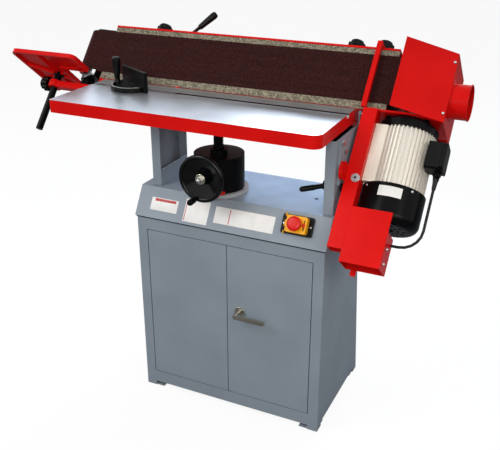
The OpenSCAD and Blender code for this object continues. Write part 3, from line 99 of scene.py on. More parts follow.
def linear(code: str) -> tuple[float, float, float, float]:
    """Turns an sRGB hex colour into linear light.

    Args:
        code: six hex digits after a hash.

    Returns:
        Red, green, blue and alpha in linear light.
    """
    raw = [int(code[i : i + 2], 16) / 255 for i in (1, 3, 5)]
    lin = [c / 12.92 if c <= 0.04045 else ((c + 0.055) / 1.055) ** 2.4 for c in raw]
    return (lin[0], lin[1], lin[2], 1.0)


def add_node(
    tree: Tree,
    kind: str,
    settings: dict[str, Any] | None = None,
    sockets: dict[str | int, Any] | None = None,
    links: dict[str | int, Socket] | None = None,
    stops: Sequence[tuple[float, str]] = (),
) -> bpy.types.Node:
    """Adds one node with its settings, its socket values and what feeds it.

    Args:
        tree: the node tree it joins.
        kind: Blender's name for the node.
        settings: properties of the node.
        sockets: input values by name or index.
        links: outputs that feed inputs, by name or index.
        stops: places and hex colours, for a node that has a colour band.

    Returns:
        The new node.
    """
    node = tree.nodes.new(kind)
    for key, value in (settings or {}).items():
        setattr(node, key, value)
    for key, value in (sockets or {}).items():
        node.inputs[key].default_value = value
    for key, output in (links or {}).items():
        tree.links.new(output, node.inputs[key])
    for index, (place, code) in enumerate(stops):
        band = node.color_ramp.elements
        element = band[index] if index < len(band) else band.new(place)
        element.position = place
        element.color = linear(code)
    return node


@dataclass
class Look:
    """What a finish's pattern gives its shader: shades, a relief, an uneven gloss and an edge colour, wear that
    on some paints is also a painted highlight.
    """

    shade: Socket
    stops: Sequence[tuple[float, str]]
    height: Socket
    depth_mm: float
    strength: float = 1.0
    gloss: Socket | None = None
    gloss_span: Pair = (0.0, 0.0)
    wear_and_highlight_mask: Socket | None = None
    wear_and_highlight_colour: str = "#000000"


@dataclass(frozen=True)
class Finish:
    """A finish with its record slot; each kind draws its own pattern."""

    name: str
    slot: str
    colour: str
    roughness: float = 0.4
    metallic: float = 0.0
    shine: float = 0.5
    sheen: float = 0.0

    def build(self) -> bpy.types.Material:
        """Makes the material once and feeds the pattern into its shader.

        Returns:
            The material.
        """
        found = bpy.data.materials.get(self.name)
        if found:
            return found
        material = bpy.data.materials.new(self.name)
        material.use_nodes = True
        tree = material.node_tree
        shader = tree.nodes["Principled BSDF"].inputs
        shader["Base Color"].default_value = linear(self.colour)
        shader["Roughness"].default_value = self.roughness
        shader["Metallic"].default_value = self.metallic
        shader["Specular IOR Level"].default_value = self.shine
        shader["Sheen Weight"].default_value = self.sheen
        look = self.pattern(tree, add_node(tree, "ShaderNodeTexCoord").outputs["Object"])
        colour = add_node(tree, "ShaderNodeValToRGB", links={0: look.shade}, stops=look.stops).outputs[0]
        # Edges take the wear colour; on the grey and the cast black it is also a painted highlight.
        if look.wear_and_highlight_mask:
            pair = {"Factor": look.wear_and_highlight_mask, "A": colour}
            mix = add_node(tree, "ShaderNodeMix", {"data_type": "RGBA"}, {"B": linear(look.wear_and_highlight_colour)}, pair)
            colour = mix.outputs["Result"]
        tree.links.new(colour, shader["Base Color"])
        if look.gloss:
            low, high = (max(self.roughness + change, 0.03) for change in look.gloss_span)
            span = {"To Min": low, "To Max": high}
            rough = add_node(tree, "ShaderNodeMapRange", sockets=span, links={"Value": look.gloss})
            tree.links.new(rough.outputs[0], shader["Roughness"])
        relief = {"Strength": look.strength, "Distance": look.depth_mm * MM}
        bump = add_node(tree, "ShaderNodeBump", sockets=relief, links={"Height": look.height})
        tree.links.new(bump.outputs[0], shader["Normal"])
        return material

    def pattern(self, tree: Tree, place: Socket) -> Look:
        """Draws the finish's own pattern on the object's coordinates."""
        raise NotImplementedError

    def grain(
        self, tree: Tree, place: Socket, size_mm: float, detail: float = 3.0, stretch: Point = (1, 1, 1),
        over: Socket | None = None, share: float = 0.0,
    ) -> Socket:
        """Draws noise whose patches are about one real size across.

        Args:
            tree: the material's tree.
            place: coordinates.
            size_mm: size of a patch in millimetres.
            detail: octaves of the noise.
            stretch: how much longer a patch is along each axis.
            over: another pattern that the noise is mixed over.
            share: the noise's share in that mix.

        Returns:
            The noise's factor output, or the mix.
        """
        scale = {"Scale": [1 / s for s in stretch]}
        spread = add_node(tree, "ShaderNodeMapping", None, scale, {"Vector": place})
        patch = {"Scale": 1 / (size_mm * MM), "Detail": detail}
        noise = add_node(tree, "ShaderNodeTexNoise", None, patch, {"Vector": spread.outputs[0]}).outputs["Fac"]
        if not over:
            return noise
        mix = add_node(tree, "ShaderNodeMix", {"data_type": "FLOAT"}, {"Factor": share}, {"A": over, "B": noise})
        return mix.outputs["Result"]

    def grains(self, tree: Tree, place: Socket, size_mm: float) -> tuple[Socket, Socket]:
        """Scatters grains of one real size; gives each grain's own shade and the height of its dome."""
        spots = {"Scale": 1 / (size_mm * MM), "Randomness": 1.0}
        cells = add_node(tree, "ShaderNodeTexVoronoi", {"feature": "F1"}, spots, {"Vector": place})
        shade = add_node(tree, "ShaderNodeSeparateColor", links={0: cells.outputs["Color"]})
        return shade.outputs[0], cells.outputs["Distance"]


@dataclass(frozen=True)
class SprayPaint(Finish):
    """Two-pack enamel sprayed on sheet or casting: faint orange peel, edges in a wear colour that on some paints
    is also a painted highlight, handling marks.
    """

    wear_and_highlight_colour: str = "#8a8a8a"
    peel_mm: float = 4.0
    peel_depth_mm: float = 0.05
    tone: tuple[str, str] = ("#000000", "#ffffff")

    def pattern(self, tree: Tree, place: Socket) -> Look:
        """Colour drifts over a hand's width, patches along the edges take the wear colour, on the grey and cast
        black also a painted highlight, and the peel catches the light.
        """
        drift = self.grain(tree, place, 160, 2.0)
        rim = add_node(tree, "ShaderNodeAttribute", {"attribute_name": "rim"})
        wear_and_highlight_spread = {"From Min": 0.56, "From Max": 0.66, "To Max": 0.7}
        wear_and_highlight_patches = add_node(tree, "ShaderNodeMapRange", None, wear_and_highlight_spread, {"Value": self.grain(tree, place, 14, 4.0)})
        pair = {0: rim.outputs["Fac"], 1: wear_and_highlight_patches.outputs[0]}
        wear_and_highlight_mask = add_node(tree, "ShaderNodeMath", {"operation": "MULTIPLY"}, links=pair)
        return Look(
            drift,
            ((0.35, self.tone[0]), (0.65, self.tone[1])),
            self.grain(tree, place, self.peel_mm, 2.0),
            self.peel_depth_mm,
            gloss=self.grain(tree, place, 45, 5.0),
            gloss_span=(-0.06, 0.1),
            wear_and_highlight_mask=wear_and_highlight_mask.outputs[0],
            wear_and_highlight_colour=self.wear_and_highlight_colour,
        )


@dataclass(frozen=True)
class GroundIron(Finish):
    """Cast iron ground flat on a surface grinder: fine straight lines along the bed, oil-dulled patches."""

    def pattern(self, tree: Tree, place: Socket) -> Look:
        """Lines run along X, drawn 2 mm apart so that they show; patches of oil dull the shine."""
        lines = self.grain(tree, place, 2.0, 2.0, (60, 1, 1))
        both = self.grain(tree, place, 120, 4.0, over=lines, share=0.65)
        stops = ((0.3, "#a6a9ad"), (0.5, "#b4b7bb"), (0.72, "#c2c5c9"))
        return Look(both, stops, lines, 0.03, gloss=both, gloss_span=(-0.08, 0.14))


@dataclass(frozen=True)
class BareMetal(Finish):
    """Turned, plated or cast bare metal with a soft directional haze."""

    grain_mm: float = 1.5
    stretch: Triple = (8, 8, 1)
    shades: tuple[str, str] = ("#9a9c9e", "#c8cacc")
    depth_mm: float = 0.02

    def pattern(self, tree: Tree, place: Socket) -> Look:
        """Haze lines along the turning, with the shade and roughness following them."""
        haze = self.grain(tree, place, self.grain_mm, 3.0, self.stretch)
        stops = ((0.3, self.shades[0]), (0.7, self.shades[1]))
        return Look(haze, stops, haze, self.depth_mm, gloss=haze, gloss_span=(-0.08, 0.1))


@dataclass(frozen=True)
class MouldedPlastic(Finish):
    """Injection-moulded plastic with a fine spark-eroded texture and a little dust."""

    texture_mm: float = 1.2
    dusty: str = "#2a2a2c"
    depth_mm: float = 0.04

    def pattern(self, tree: Tree, place: Socket) -> Look:
        """Spark texture in the relief, with dust that lightens broad patches."""
        dust = self.grain(tree, place, 30, 5.0)
        stops = ((0.45, self.colour), (0.8, self.dusty))
        spark = self.grain(tree, place, self.texture_mm, 2.0)
        return Look(dust, stops, spark, self.depth_mm, gloss=dust, gloss_span=(-0.05, 0.12))


@dataclass(frozen=True)
class Abrasive(Finish):
    """Cloth belt with resin-bonded grit: dark red-brown, speckled, with streaks of wear along its run."""

    grit_mm: float = 1.6
    shades: tuple[str, str, str] = ("#1c0d0d", "#301817", "#462422")

    def pattern(self, tree: Tree, place: Socket) -> Look:
        """Grit is drawn at 1.6 mm so that it shows; streaks run along X."""
        shade, dome = self.grains(tree, place, self.grit_mm)
        both = self.grain(tree, place, 9, 4.0, (40, 1, 1), shade, 0.3)
        return Look(both, tuple(zip((0.15, 0.5, 0.9), self.shades)), dome, 0.35, 0.6)


@dataclass(frozen=True)
class SpeckledPad(Finish):
    """Graphite-coated felt behind the belt: pale flecks and dark graphite grains, matt."""

    fleck_mm: float = 4.0
    shades: tuple[str, str, str] = ("#544f43", "#7b7463", "#a39a84")

    def pattern(self, tree: Tree, place: Socket) -> Look:
        """Flecks are drawn 4 mm across so that they show; finer grains stand up in the relief."""
        shade, _ = self.grains(tree, place, self.fleck_mm)
        both = self.grain(tree, place, 2.4, 4.0, over=shade, share=0.4)
        return Look(both, tuple(zip((0.18, 0.5, 0.85), self.shades)), both, 0.4, 0.7)


@dataclass(frozen=True)
class SlotIron(Finish):
    """Milled slot wall: a painted shadow as a dark line under the lip, bare ground iron below it."""

    lip: float = 0.0036
    fade: float = 0.0008
    shades: tuple[str, str] = ("#c2c4c6", "#1f2021")

    def pattern(self, tree: Tree, place: Socket) -> Look:
        """The height up the wall sets the painted shadow."""
        height = add_node(tree, "ShaderNodeSeparateXYZ", links={0: place})
        line = TABLE_TOP - self.lip
        span = {"From Min": line - self.fade, "From Max": line}
        near = add_node(tree, "ShaderNodeMapRange", None, span, {"Value": height.outputs["Z"]})
        milled = self.grain(tree, place, 2.0, 2.0, (30, 1, 1))
        return Look(near.outputs[0], tuple(zip((0.0, 1.0), self.shades)), milled, 0.03)


@dataclass(frozen=True)
class WovenCloth(Finish):
    """Plain-woven cloth: threads drawn 2 mm apart so that the weave shows."""

    thread_mm: float = 2.0
    shades: tuple[str, str] = ("#6f6a5c", "#8f8877")

    def pattern(self, tree: Tree, place: Socket) -> Look:
        """Warp along X and weft across it, each a soft wave, multiplied into a basket of bumps."""
        waves = {}
        thread = {"Scale": 0.314 / (self.thread_mm * MM), "Distortion": 0.6, "Detail Scale": 2.0}
        for index, axis in enumerate(("X", "Z")):
            bands = {"wave_type": "BANDS", "bands_direction": axis}
            waves[index] = add_node(tree, "ShaderNodeTexWave", bands, thread, {"Vector": place}).outputs["Fac"]
        weave = add_node(tree, "ShaderNodeMath", {"operation": "MULTIPLY"}, links=waves).outputs[0]
        both = self.grain(tree, place, 25, 5.0, over=weave, share=0.5)
        return Look(both, tuple(zip((0.2, 0.7), self.shades)), weave, 0.25, 0.7)


# Deep even red with a soft gloss, darker where an edge is rubbed.
RED = SprayPaint(
    "red_enamel", "red_paint", "#d4120f", 0.22, shine=0.08, wear_and_highlight_colour="#8a1512", tone=("#cf100d", "#dc1512")
)
# Flat blue-grey with a low sheen and a faint peel; its pale edges are partly wear, partly a painted highlight.
GREY = SprayPaint(
    "grey_enamel", "grey_paint", "#87929d", 0.45, shine=0.3, wear_and_highlight_colour="#b9c2c9", peel_depth_mm=0.06,
    tone=("#848f99", "#8a959f"),
)
# Painted shade: dark and matt inside the cabinet, so that the gaps round the doors look deep.
CABINET_INSIDE_SHADE = SprayPaint(
    "dark_primer", "grey_paint", "#2b2e31", 0.6, shine=0.2, wear_and_highlight_colour="#35383b", tone=("#272a2d", "#2f3235")
)
# Near-black with a small tight shine.
BLACK = SprayPaint(
    "black_enamel", "black_paint", "#060607", 0.24, shine=0.08, wear_and_highlight_colour="#242527", tone=("#060708", "#0b0c0d")
)
# Baked black, with the hardest shine of the paints.
WHEEL_BLACK = SprayPaint(
    "black_stove_enamel", "black_paint", "#08090a", 0.14, shine=0.22, wear_and_highlight_colour="#2a2b2d",
    tone=("#060708", "#0b0c0d"),
)
# Black over rough cast iron: a broken highlight, and grey-blue rims that are partly wear, partly a painted
# highlight.
CAST_BLACK = SprayPaint(
    "black_painted_iron", "cast_black", "#050606", 0.3, shine=0.11, wear_and_highlight_colour="#4a5056", peel_mm=3.0,
    peel_depth_mm=0.18, tone=("#040505", "#090a0b"),
)
# The machine's red over cast iron, with a coarser peel.
CAST_RED = SprayPaint(
    "red_painted_iron", "table_iron", "#d4120f", 0.3, shine=0.08, wear_and_highlight_colour="#96231f", peel_mm=5.0,
    peel_depth_mm=0.1, tone=("#cd100d", "#da1512"),
)
# Pale grey foot under the black casting.
FLANGE_GREY = SprayPaint(
    "flange_enamel", "cast_black", "#a9adb0", 0.4, wear_and_highlight_colour="#d0d2d4", tone=("#a0a4a7", "#b2b6b9")
)
# Cream paint, flat and warm beside the bare fins.
FOOT_PAINT = SprayPaint(
    "cream_enamel", "alu", "#ece6d6", 0.4, shine=0.3, wear_and_highlight_colour="#d4cdbc", tone=("#e6dfce", "#f2ede0")
)
# Bright bed that mirrors softly along the grinding.
GROUND = GroundIron("ground_cast_iron", "table_iron", "#b4b7bb", 0.32, 0.85)
# A painted shadow: a dark line under the table's edge, bright iron below it.
SLOT_SHADE = SlotIron("milled_slot_iron", "table_iron", "#8a8c8e", 0.45, 0.9)
# Bright zinc with a turned haze.
STEEL = BareMetal("zinc_plated_steel", "steel", "#b9bbbd", 0.3, 1.0)
# Mirror plate with few marks, tinted warm and darker: a painted reflection of a brown floor.
CHROME_PAINTED_REFLECTION = BareMetal(
    "chrome_plate", "chrome", "#b9b4a4", 0.12, 1.0, shades=("#a6a190", "#cbc7ba"), grain_mm=20, depth_mm=0.0
)
# Pale raw casting, hardly metallic to the eye.
ALUMINIUM = BareMetal(
    "cast_aluminium", "alu", "#e2ddd2", 0.42, 0.35, grain_mm=3.0, stretch=(1, 1, 1),
    shades=("#d9d4c9", "#ece8df"), depth_mm=0.08,
)
# Pale etched metal, almost without marks.
SCALE_PLATE = BareMetal(
    "etched_scale", "steel", "#d2d3d2", 0.35, 0.7, shades=("#c4c5c4", "#dcdddc"), grain_mm=6, depth_mm=0.0
)
# Satin black moulding with a soft wide highlight.
PLASTIC = MouldedPlastic("black_moulded_plastic", "black_plastic", "#050606", 0.3, shine=0.13, dusty="#0d0e0f")
# Clear bright red, smoother than the paint.
RED_PLASTIC = MouldedPlastic("red_moulded_plastic", "red_plastic", "#d4150f", 0.26, shine=0.25, dusty="#d62a22")
# Deep clear green with a little dust.
GREEN_PLASTIC = MouldedPlastic("green_moulded_plastic", "green_plastic", "#157a2c", 0.3, dusty="#2c8a42")
# Warm signal yellow that stands out from the grey.
YELLOW_PLASTIC = MouldedPlastic(
    "yellow_moulded_plastic", "yellow_plastic", "#f2a900", 0.3, shine=0.3, dusty="#f4b020"
)
# Dull black sheath that hardly shines.
RUBBER = MouldedPlastic("rubber_sheath", "lead", "#0c0c0d", 0.5, shine=0.25, dusty="#1b1b1d", texture_mm=2.0)
# Smooth white film, left blank.
CARD = MouldedPlastic("blank_label_film", "grey_paint", "#e9e9e6", 0.35, dusty="#dededa", depth_mm=0.0)
# Plain red film, flatter than the paint.
CARD_BAND = MouldedPlastic("red_label_film", "red_paint", "#b3241f", 0.35, dusty="#b8322d", depth_mm=0.0)
# Dark red-brown that swallows the light.
GRIT = Abrasive("bonded_grit", "abrasive", "#3a1918", 0.85, shine=0.06)
# Dull woven tan on the belt's inside.
BACKING = WovenCloth("belt_backing", "abrasive", "#7a6a52", 0.85, sheen=0.15, shades=("#6a5b45", "#8a795e"))
# Grey-beige felt with dark grains.
PAD = SpeckledPad("graphite_felt", "graphite", "#807a6a", 0.85, shine=0.15)


def at(x: float, y: float, z: float) -> Matrix:
    """Moves by millimetres."""
    return Matrix.Translation(Vector((x, y, z)) * MM)


def turn(degrees: float, axis: str) -> Matrix:
    """Turns about one axis."""
    return Matrix.Rotation(math.radians(degrees), 4, axis)


# The belt head's own frame at rest, and the fascia's slope with x along it and y up it.
HEAD = at(0, 58, 946) @ turn(-40, "X")
FASCIA = at(0, -198.5, 620) @ Matrix.Rotation(math.atan2(83, 50), 4, "X")


def link(data: bpy.types.ID, name: str) -> Object:
    """Puts a mesh, curve, lamp or camera into the scene as an object at the origin."""
    obj = bpy.data.objects.new(name, data)
    bpy.context.scene.collection.objects.link(obj)
    return obj


def smooth(mesh: bpy.types.Mesh, sharp_deg: float = 35.0) -> None:
    """Shades a mesh smooth, apart from the edges sharper than an angle."""
    mesh.shade_smooth()
    mesh.set_sharp_from_angle(angle=math.radians(sharp_deg))


def mesh_from(name: str, draw: Draw, place: Matrix | None = None) -> Object:
    """Draws a mesh and links it with smooth shading.

    Args:
        name: the object's name.
        draw: fills the bmesh, in metres.
        place: moves what was drawn into the row frame.

    Returns:
        The new object, at the origin.
    """
    bm = bmesh.new()
    draw(bm)
    bmesh.ops.remove_doubles(bm, verts=bm.verts, dist=1e-6)
    bmesh.ops.recalc_face_normals(bm, faces=bm.faces)
    if place is not None:
        bm.transform(place)
    mesh = bpy.data.meshes.new(name)
    bm.to_mesh(mesh)
    bm.free()
    smooth(mesh)
    return link(mesh, name)


def final_mesh(obj: Object) -> bpy.types.Mesh:
    """Gives the plain mesh that an object's modifiers or bevel come to."""
    depsgraph = bpy.context.evaluated_depsgraph_get()
    return bpy.data.meshes.new_from_object(obj.evaluated_get(depsgraph), depsgraph=depsgraph)


def apply_modifiers(obj: Object) -> None:
    """Turns an object's modifiers into plain mesh."""
    old, obj.data = obj.data, final_mesh(obj)
    obj.modifiers.clear()
    bpy.data.meshes.remove(old)
    obj.data.name = obj.name


def settle(obj: Object, body: str, finish: Finish, *nodes: str) -> Object:
    """Gives a piece its finish and its body, and hides the solids it stands for.

    Args:
        obj: the piece.
        body: the body it moves with.
        finish: its finish.
        nodes: the solids that it replaces.

    Returns:
        The piece.
    """
    if not obj.data.materials:
        obj.data.materials.append(finish.build())
    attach(obj, body)
    if nodes:
        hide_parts(*nodes)
    LOG.info("%s: %d faces on %s", obj.name, len(obj.data.polygons), body)
    return obj


def piece(name: str, draw: Draw, body: str, finish: Finish, place: Matrix | None = None) -> None:
    """Draws a small piece of trim, moves it into place and settles it."""
    settle(mesh_from(name, draw, place), body, finish)


def slab(low: Point, high: Point, round_mm: float = 0.0) -> Draw:
    """Gives the drawing of a box.

    Args:
        low: one corner, in millimetres.
        high: the corner across from it.
        round_mm: how far its edges are rounded.

    Returns:
        The drawing.
    """

    def draw(bm: BMesh) -> None:
        """Adds the box."""
        size = [(b - a) * MM for a, b in zip(low, high)]
        centre = Vector([(a + b) / 2 * MM for a, b in zip(low, high)])
        fit = Matrix.Translation(centre) @ Matrix.Diagonal((*size, 1))
        made = bmesh.ops.create_cube(bm, size=1.0, matrix=fit)
        if round_mm:
            edges = list({e for v in made["verts"] for e in v.link_edges})
            bmesh.ops.bevel(bm, geom=edges, offset=round_mm * MM, segments=2, profile=0.5, affect="EDGES")

    return draw


def turned(profile: Sequence[Point], steps: int = 48, lay: Matrix = Matrix(), span: Pair = (0, 360)) -> Draw:
    """Gives the drawing of a shape turned round the z axis.

    Args:
        profile: radius and height pairs in millimetres, from axis to axis or back to the first.
        steps: faces round the axis.
        lay: turns the axis away from z.
        span: where it starts and ends, in degrees; a part turn is closed at both ends.

    Returns:
        The drawing.
    """
    start, end = span
    stations = steps if end - start >= 360 else steps + 1

    def draw(bm: BMesh) -> None:
        """Adds a ring of points for each pair, or one point on the axis, and the faces between them."""
        rings = []
        for r, z in profile:
            count = stations if r > 1e-6 else 1
            angles = [math.radians(start + (end - start) * i / steps) for i in range(count)]
            points = [lay @ Vector((r * math.cos(a), r * math.sin(a), z)) for a in angles]
            rings.append([bm.verts.new(point * MM) for point in points])
        for a, b in zip(rings, rings[1:]):
            for i in range(steps):
                j = (i + 1) % stations
                corners = dict.fromkeys((a[i % len(a)], a[j % len(a)], b[j % len(b)], b[i % len(b)]))
                if len(corners) > 2:
                    bm.faces.new(list(corners))
        if stations > steps:
            for tip in (0, -1):
                bm.faces.new([ring[tip] for ring in rings[:-1]])

    return draw


def rectangle(radii: Pair, heights: Pair) -> tuple[Pair, ...]:
    """Gives the closed profile of a flat strip from its inner and outer radius and its two edges."""
    (inner, outer), (low, high) = radii, heights
    return ((inner, low), (inner, high), (outer, high), (outer, low), (inner, low))


def together(*draws: Draw) -> Draw:
    """Gives one drawing that adds several shapes to the same mesh."""

    def draw(bm: BMesh) -> None:
        """Adds each shape in turn."""
        for each in draws:
            each(bm)

    return draw


@dataclass
class SoftCopy:
    """A copy of one solid on its own body, with its sharp edges rounded and its rims marked for the paint's edge
    colour, wear that on some paints is also a painted highlight.
    """

    node: str
    finish: Finish
    round_mm: float = 1.0
    segments: int = 2
    zones: tuple[tuple[Finish, Region], ...] = ()
    flat_deg: float = 0.6
    edge_deg: float = 28.0
    sharp_deg: float = 50.0

    def make(self) -> None:
        """Builds the copy and lets it stand for the solid."""
        bm = bmesh.new()
        bm.from_mesh(frame["nodes"][self.node].data)
        bmesh.ops.remove_doubles(bm, verts=bm.verts, dist=2e-6)
        bmesh.ops.dissolve_limit(bm, angle_limit=math.radians(self.flat_deg), verts=bm.verts, edges=bm.edges)
        self.soften(bm)
        for face in bm.faces:
            for index, (_, region) in enumerate(self.zones):
                if self.covers(face, region):
                    face.material_index = index + 1
        mesh = bpy.data.meshes.new(self.node + "_skin")
        bm.to_mesh(mesh)
        bm.free()
        smooth(mesh, self.sharp_deg)
        obj = link(mesh, self.node + "_skin")
        for finish in (self.finish, *(finish for finish, _ in self.zones)):
            mesh.materials.append(finish.build())
        even = obj.modifiers.new("even", "WEIGHTED_NORMAL")
        even.keep_sharp = True
        even.weight = 100
        apply_modifiers(obj)
        settle(obj, BODY_OF[self.node], self.finish, self.node)

    def soften(self, bm: BMesh) -> None:
        """Rounds the sharp edges and marks the new faces as rims."""
        width = self.round_mm * MM
        rim = bm.faces.layers.float.new("rim")
        sharp = []
        for edge in bm.edges:
            bent = len(edge.link_faces) == 2 and edge.calc_face_angle(0) > math.radians(self.edge_deg)
            if bent and edge.calc_length() > width * 0.8:
                sharp.append(edge)
        if not sharp or width <= 0:
            return
        made = bmesh.ops.bevel(
            bm,
            geom=sharp,
            offset=width,
            offset_type="OFFSET",
            segments=self.segments,
            profile=0.5,
            affect="EDGES",
            clamp_overlap=True,
            loop_slide=True,
        )
        for face in made["faces"]:
            face[rim] = 1.0

    def covers(self, face: bmesh.types.BMFace, region: Region) -> bool:
        """Tells whether a face lies in a region.

        Args:
            face: a face of the copy.
            region: the region asked for.

        Returns:
            True where the region's finish covers the face.
        """
        centre, normal = face.calc_center_median(), face.normal
        if region is Region.TOP_PLANE:
            return normal.z > 0.95 and centre.z > TABLE_TOP - SLOT_DEPTH
        if region is Region.BELOW:
            return centre.z < FLANGE_TOP
        if region is Region.MITRE_SLOT:
            inside = abs(centre.y - SLOT_Y) < SLOT_HALF and abs(normal.y) > 0.7
            return inside and TABLE_TOP - SLOT_DEPTH < centre.z < TABLE_TOP - SLOT_LIP
        if region is Region.CABINET_INSIDE:
            inside = abs(centre.x) < CABINET_SIDE and centre.y > CABINET_FRONT
            facing_in = normal.dot(centre - Vector((0, 0, centre.z))) < 0
            return inside and facing_in and CABINET_FLOOR < centre.z < CABINET_TOP
        here = HEAD.inverted() @ centre
        facing = HEAD.inverted().to_3x3() @ normal
        if region is Region.UNDER_MOTOR:
            return here.x > MOTOR_PLATE_X and facing.z < -0.7
        if region is Region.FORK_NOSE:
            return here.y < FORK_NOSE_Y and facing.y < -0.7
        if region is Region.MOTOR_FOOT:
            return here.x < FOOT_RIGHT and here.y < FOOT_BACK
        along = min(max((here.x - IDLER_AXIS.x) / (DRUM_AXIS.x - IDLER_AXIS.x), 0), 1)
        out = here.xy - IDLER_AXIS.lerp(DRUM_AXIS, along)
        return abs(facing.z) < 0.5 and facing.xy.dot(out) < 0


def skins(*rows: tuple[Finish, float, int, str]) -> None:
    """Makes plain skins: a finish, a rounding in millimetres, its segments and the solids that share them."""
    for finish, round_mm, segments, nodes in rows:
        for node in nodes.split():
            SoftCopy(node, finish, round_mm, segments).make()


@dataclass
class Copies:
    """Geometry Nodes that repeat one shape along a row or round an axis, realized into one mesh."""

    name: str
    count: int
    pitch_mm: Pair = (0.0, 0.0)
    radius_mm: float = 0.0
    step_deg: float = 0.0
    start_deg: float = 0.0

    def tree(self, shape: Object, finish: Finish) -> Tree:
        """Builds the tree with named inputs for its sizes.

        Args:
            shape: the shape to repeat, x pointing out where it goes round an axis.
            finish: the finish of all copies.

        Returns:
            The tree.
        """
        tree = bpy.data.node_groups.new(self.name + "_copies", "GeometryNodeTree")
        face = tree.interface
        face.new_socket("Geometry", in_out="INPUT", socket_type="NodeSocketGeometry")
        for label, kind, value in (
            ("Count", "Int", self.count),
            ("Pitch", "Vector", (self.pitch_mm[0] * MM, self.pitch_mm[1] * MM, 0.0)),
            ("Radius", "Float", self.radius_mm * MM),
            ("Step", "Float", math.radians(self.step_deg)),
            ("Start", "Float", math.radians(self.start_deg)),
        ):
            face.new_socket(label, in_out="INPUT", socket_type="NodeSocket" + kind).default_value = value
        face.new_socket("Geometry", in_out="OUTPUT", socket_type="NodeSocketGeometry")
        given = add_node(tree, "NodeGroupInput").outputs
        index = add_node(tree, "GeometryNodeInputIndex").outputs[0]
        points = add_node(tree, "GeometryNodeMeshLine", None, {"Offset": (0, 0, 0)}, {"Count": given["Count"]})
        along = add_node(
            tree, "ShaderNodeVectorMath", {"operation": "SCALE"}, links={0: given["Pitch"], "Scale": index}
        )
        row = {"Geometry": points.outputs["Mesh"], "Offset": along.outputs[0]}
        spots = add_node(tree, "GeometryNodeSetPosition", links=row)
        steps = {0: index, 1: given["Step"], 2: given["Start"]}
        angle = add_node(tree, "ShaderNodeMath", {"operation": "MULTIPLY_ADD"}, links=steps)
        spin = add_node(tree, "ShaderNodeCombineXYZ", links={"Z": angle.outputs[0]})
        source = add_node(tree, "GeometryNodeObjectInfo", sockets={"Object": shape})
        seats = {"Points": spots.outputs[0], "Instance": source.outputs["Geometry"], "Rotation": spin.outputs[0]}
        copies = add_node(tree, "GeometryNodeInstanceOnPoints", links=seats)
        reach = add_node(tree, "ShaderNodeCombineXYZ", links={"X": given["Radius"]})
        out = {"Instances": copies.outputs[0], "Translation": reach.outputs[0]}
        moved = add_node(tree, "GeometryNodeTranslateInstances", links=out)
        real = add_node(tree, "GeometryNodeRealizeInstances", links={0: moved.outputs[0]})
        coat = {"Material": finish.build()}
        dressed = add_node(tree, "GeometryNodeSetMaterial", None, coat, {0: real.outputs[0]})
        add_node(tree, "NodeGroupOutput", links={0: dressed.outputs[0]})
        return tree

    def make(self, draw: Draw, place: Matrix, body: str, finish: Finish) -> None:
        """Draws one shape, repeats it and settles the copies as one piece.

        Args:
            draw: draws one copy, its seat at the origin.
            place: moves the copies into the row frame.
            body: the body they move with.
            finish: the finish of all copies.
        """
        shape = mesh_from(self.name + "_one", draw)
        copies = link(bpy.data.meshes.new(self.name), self.name)
        copies.modifiers.new("copies", "NODES").node_group = self.tree(shape, finish)
        apply_modifiers(copies)
        copies.data.transform(place)
        smooth(copies.data)
        bpy.data.objects.remove(shape)
        settle(copies, body, finish)


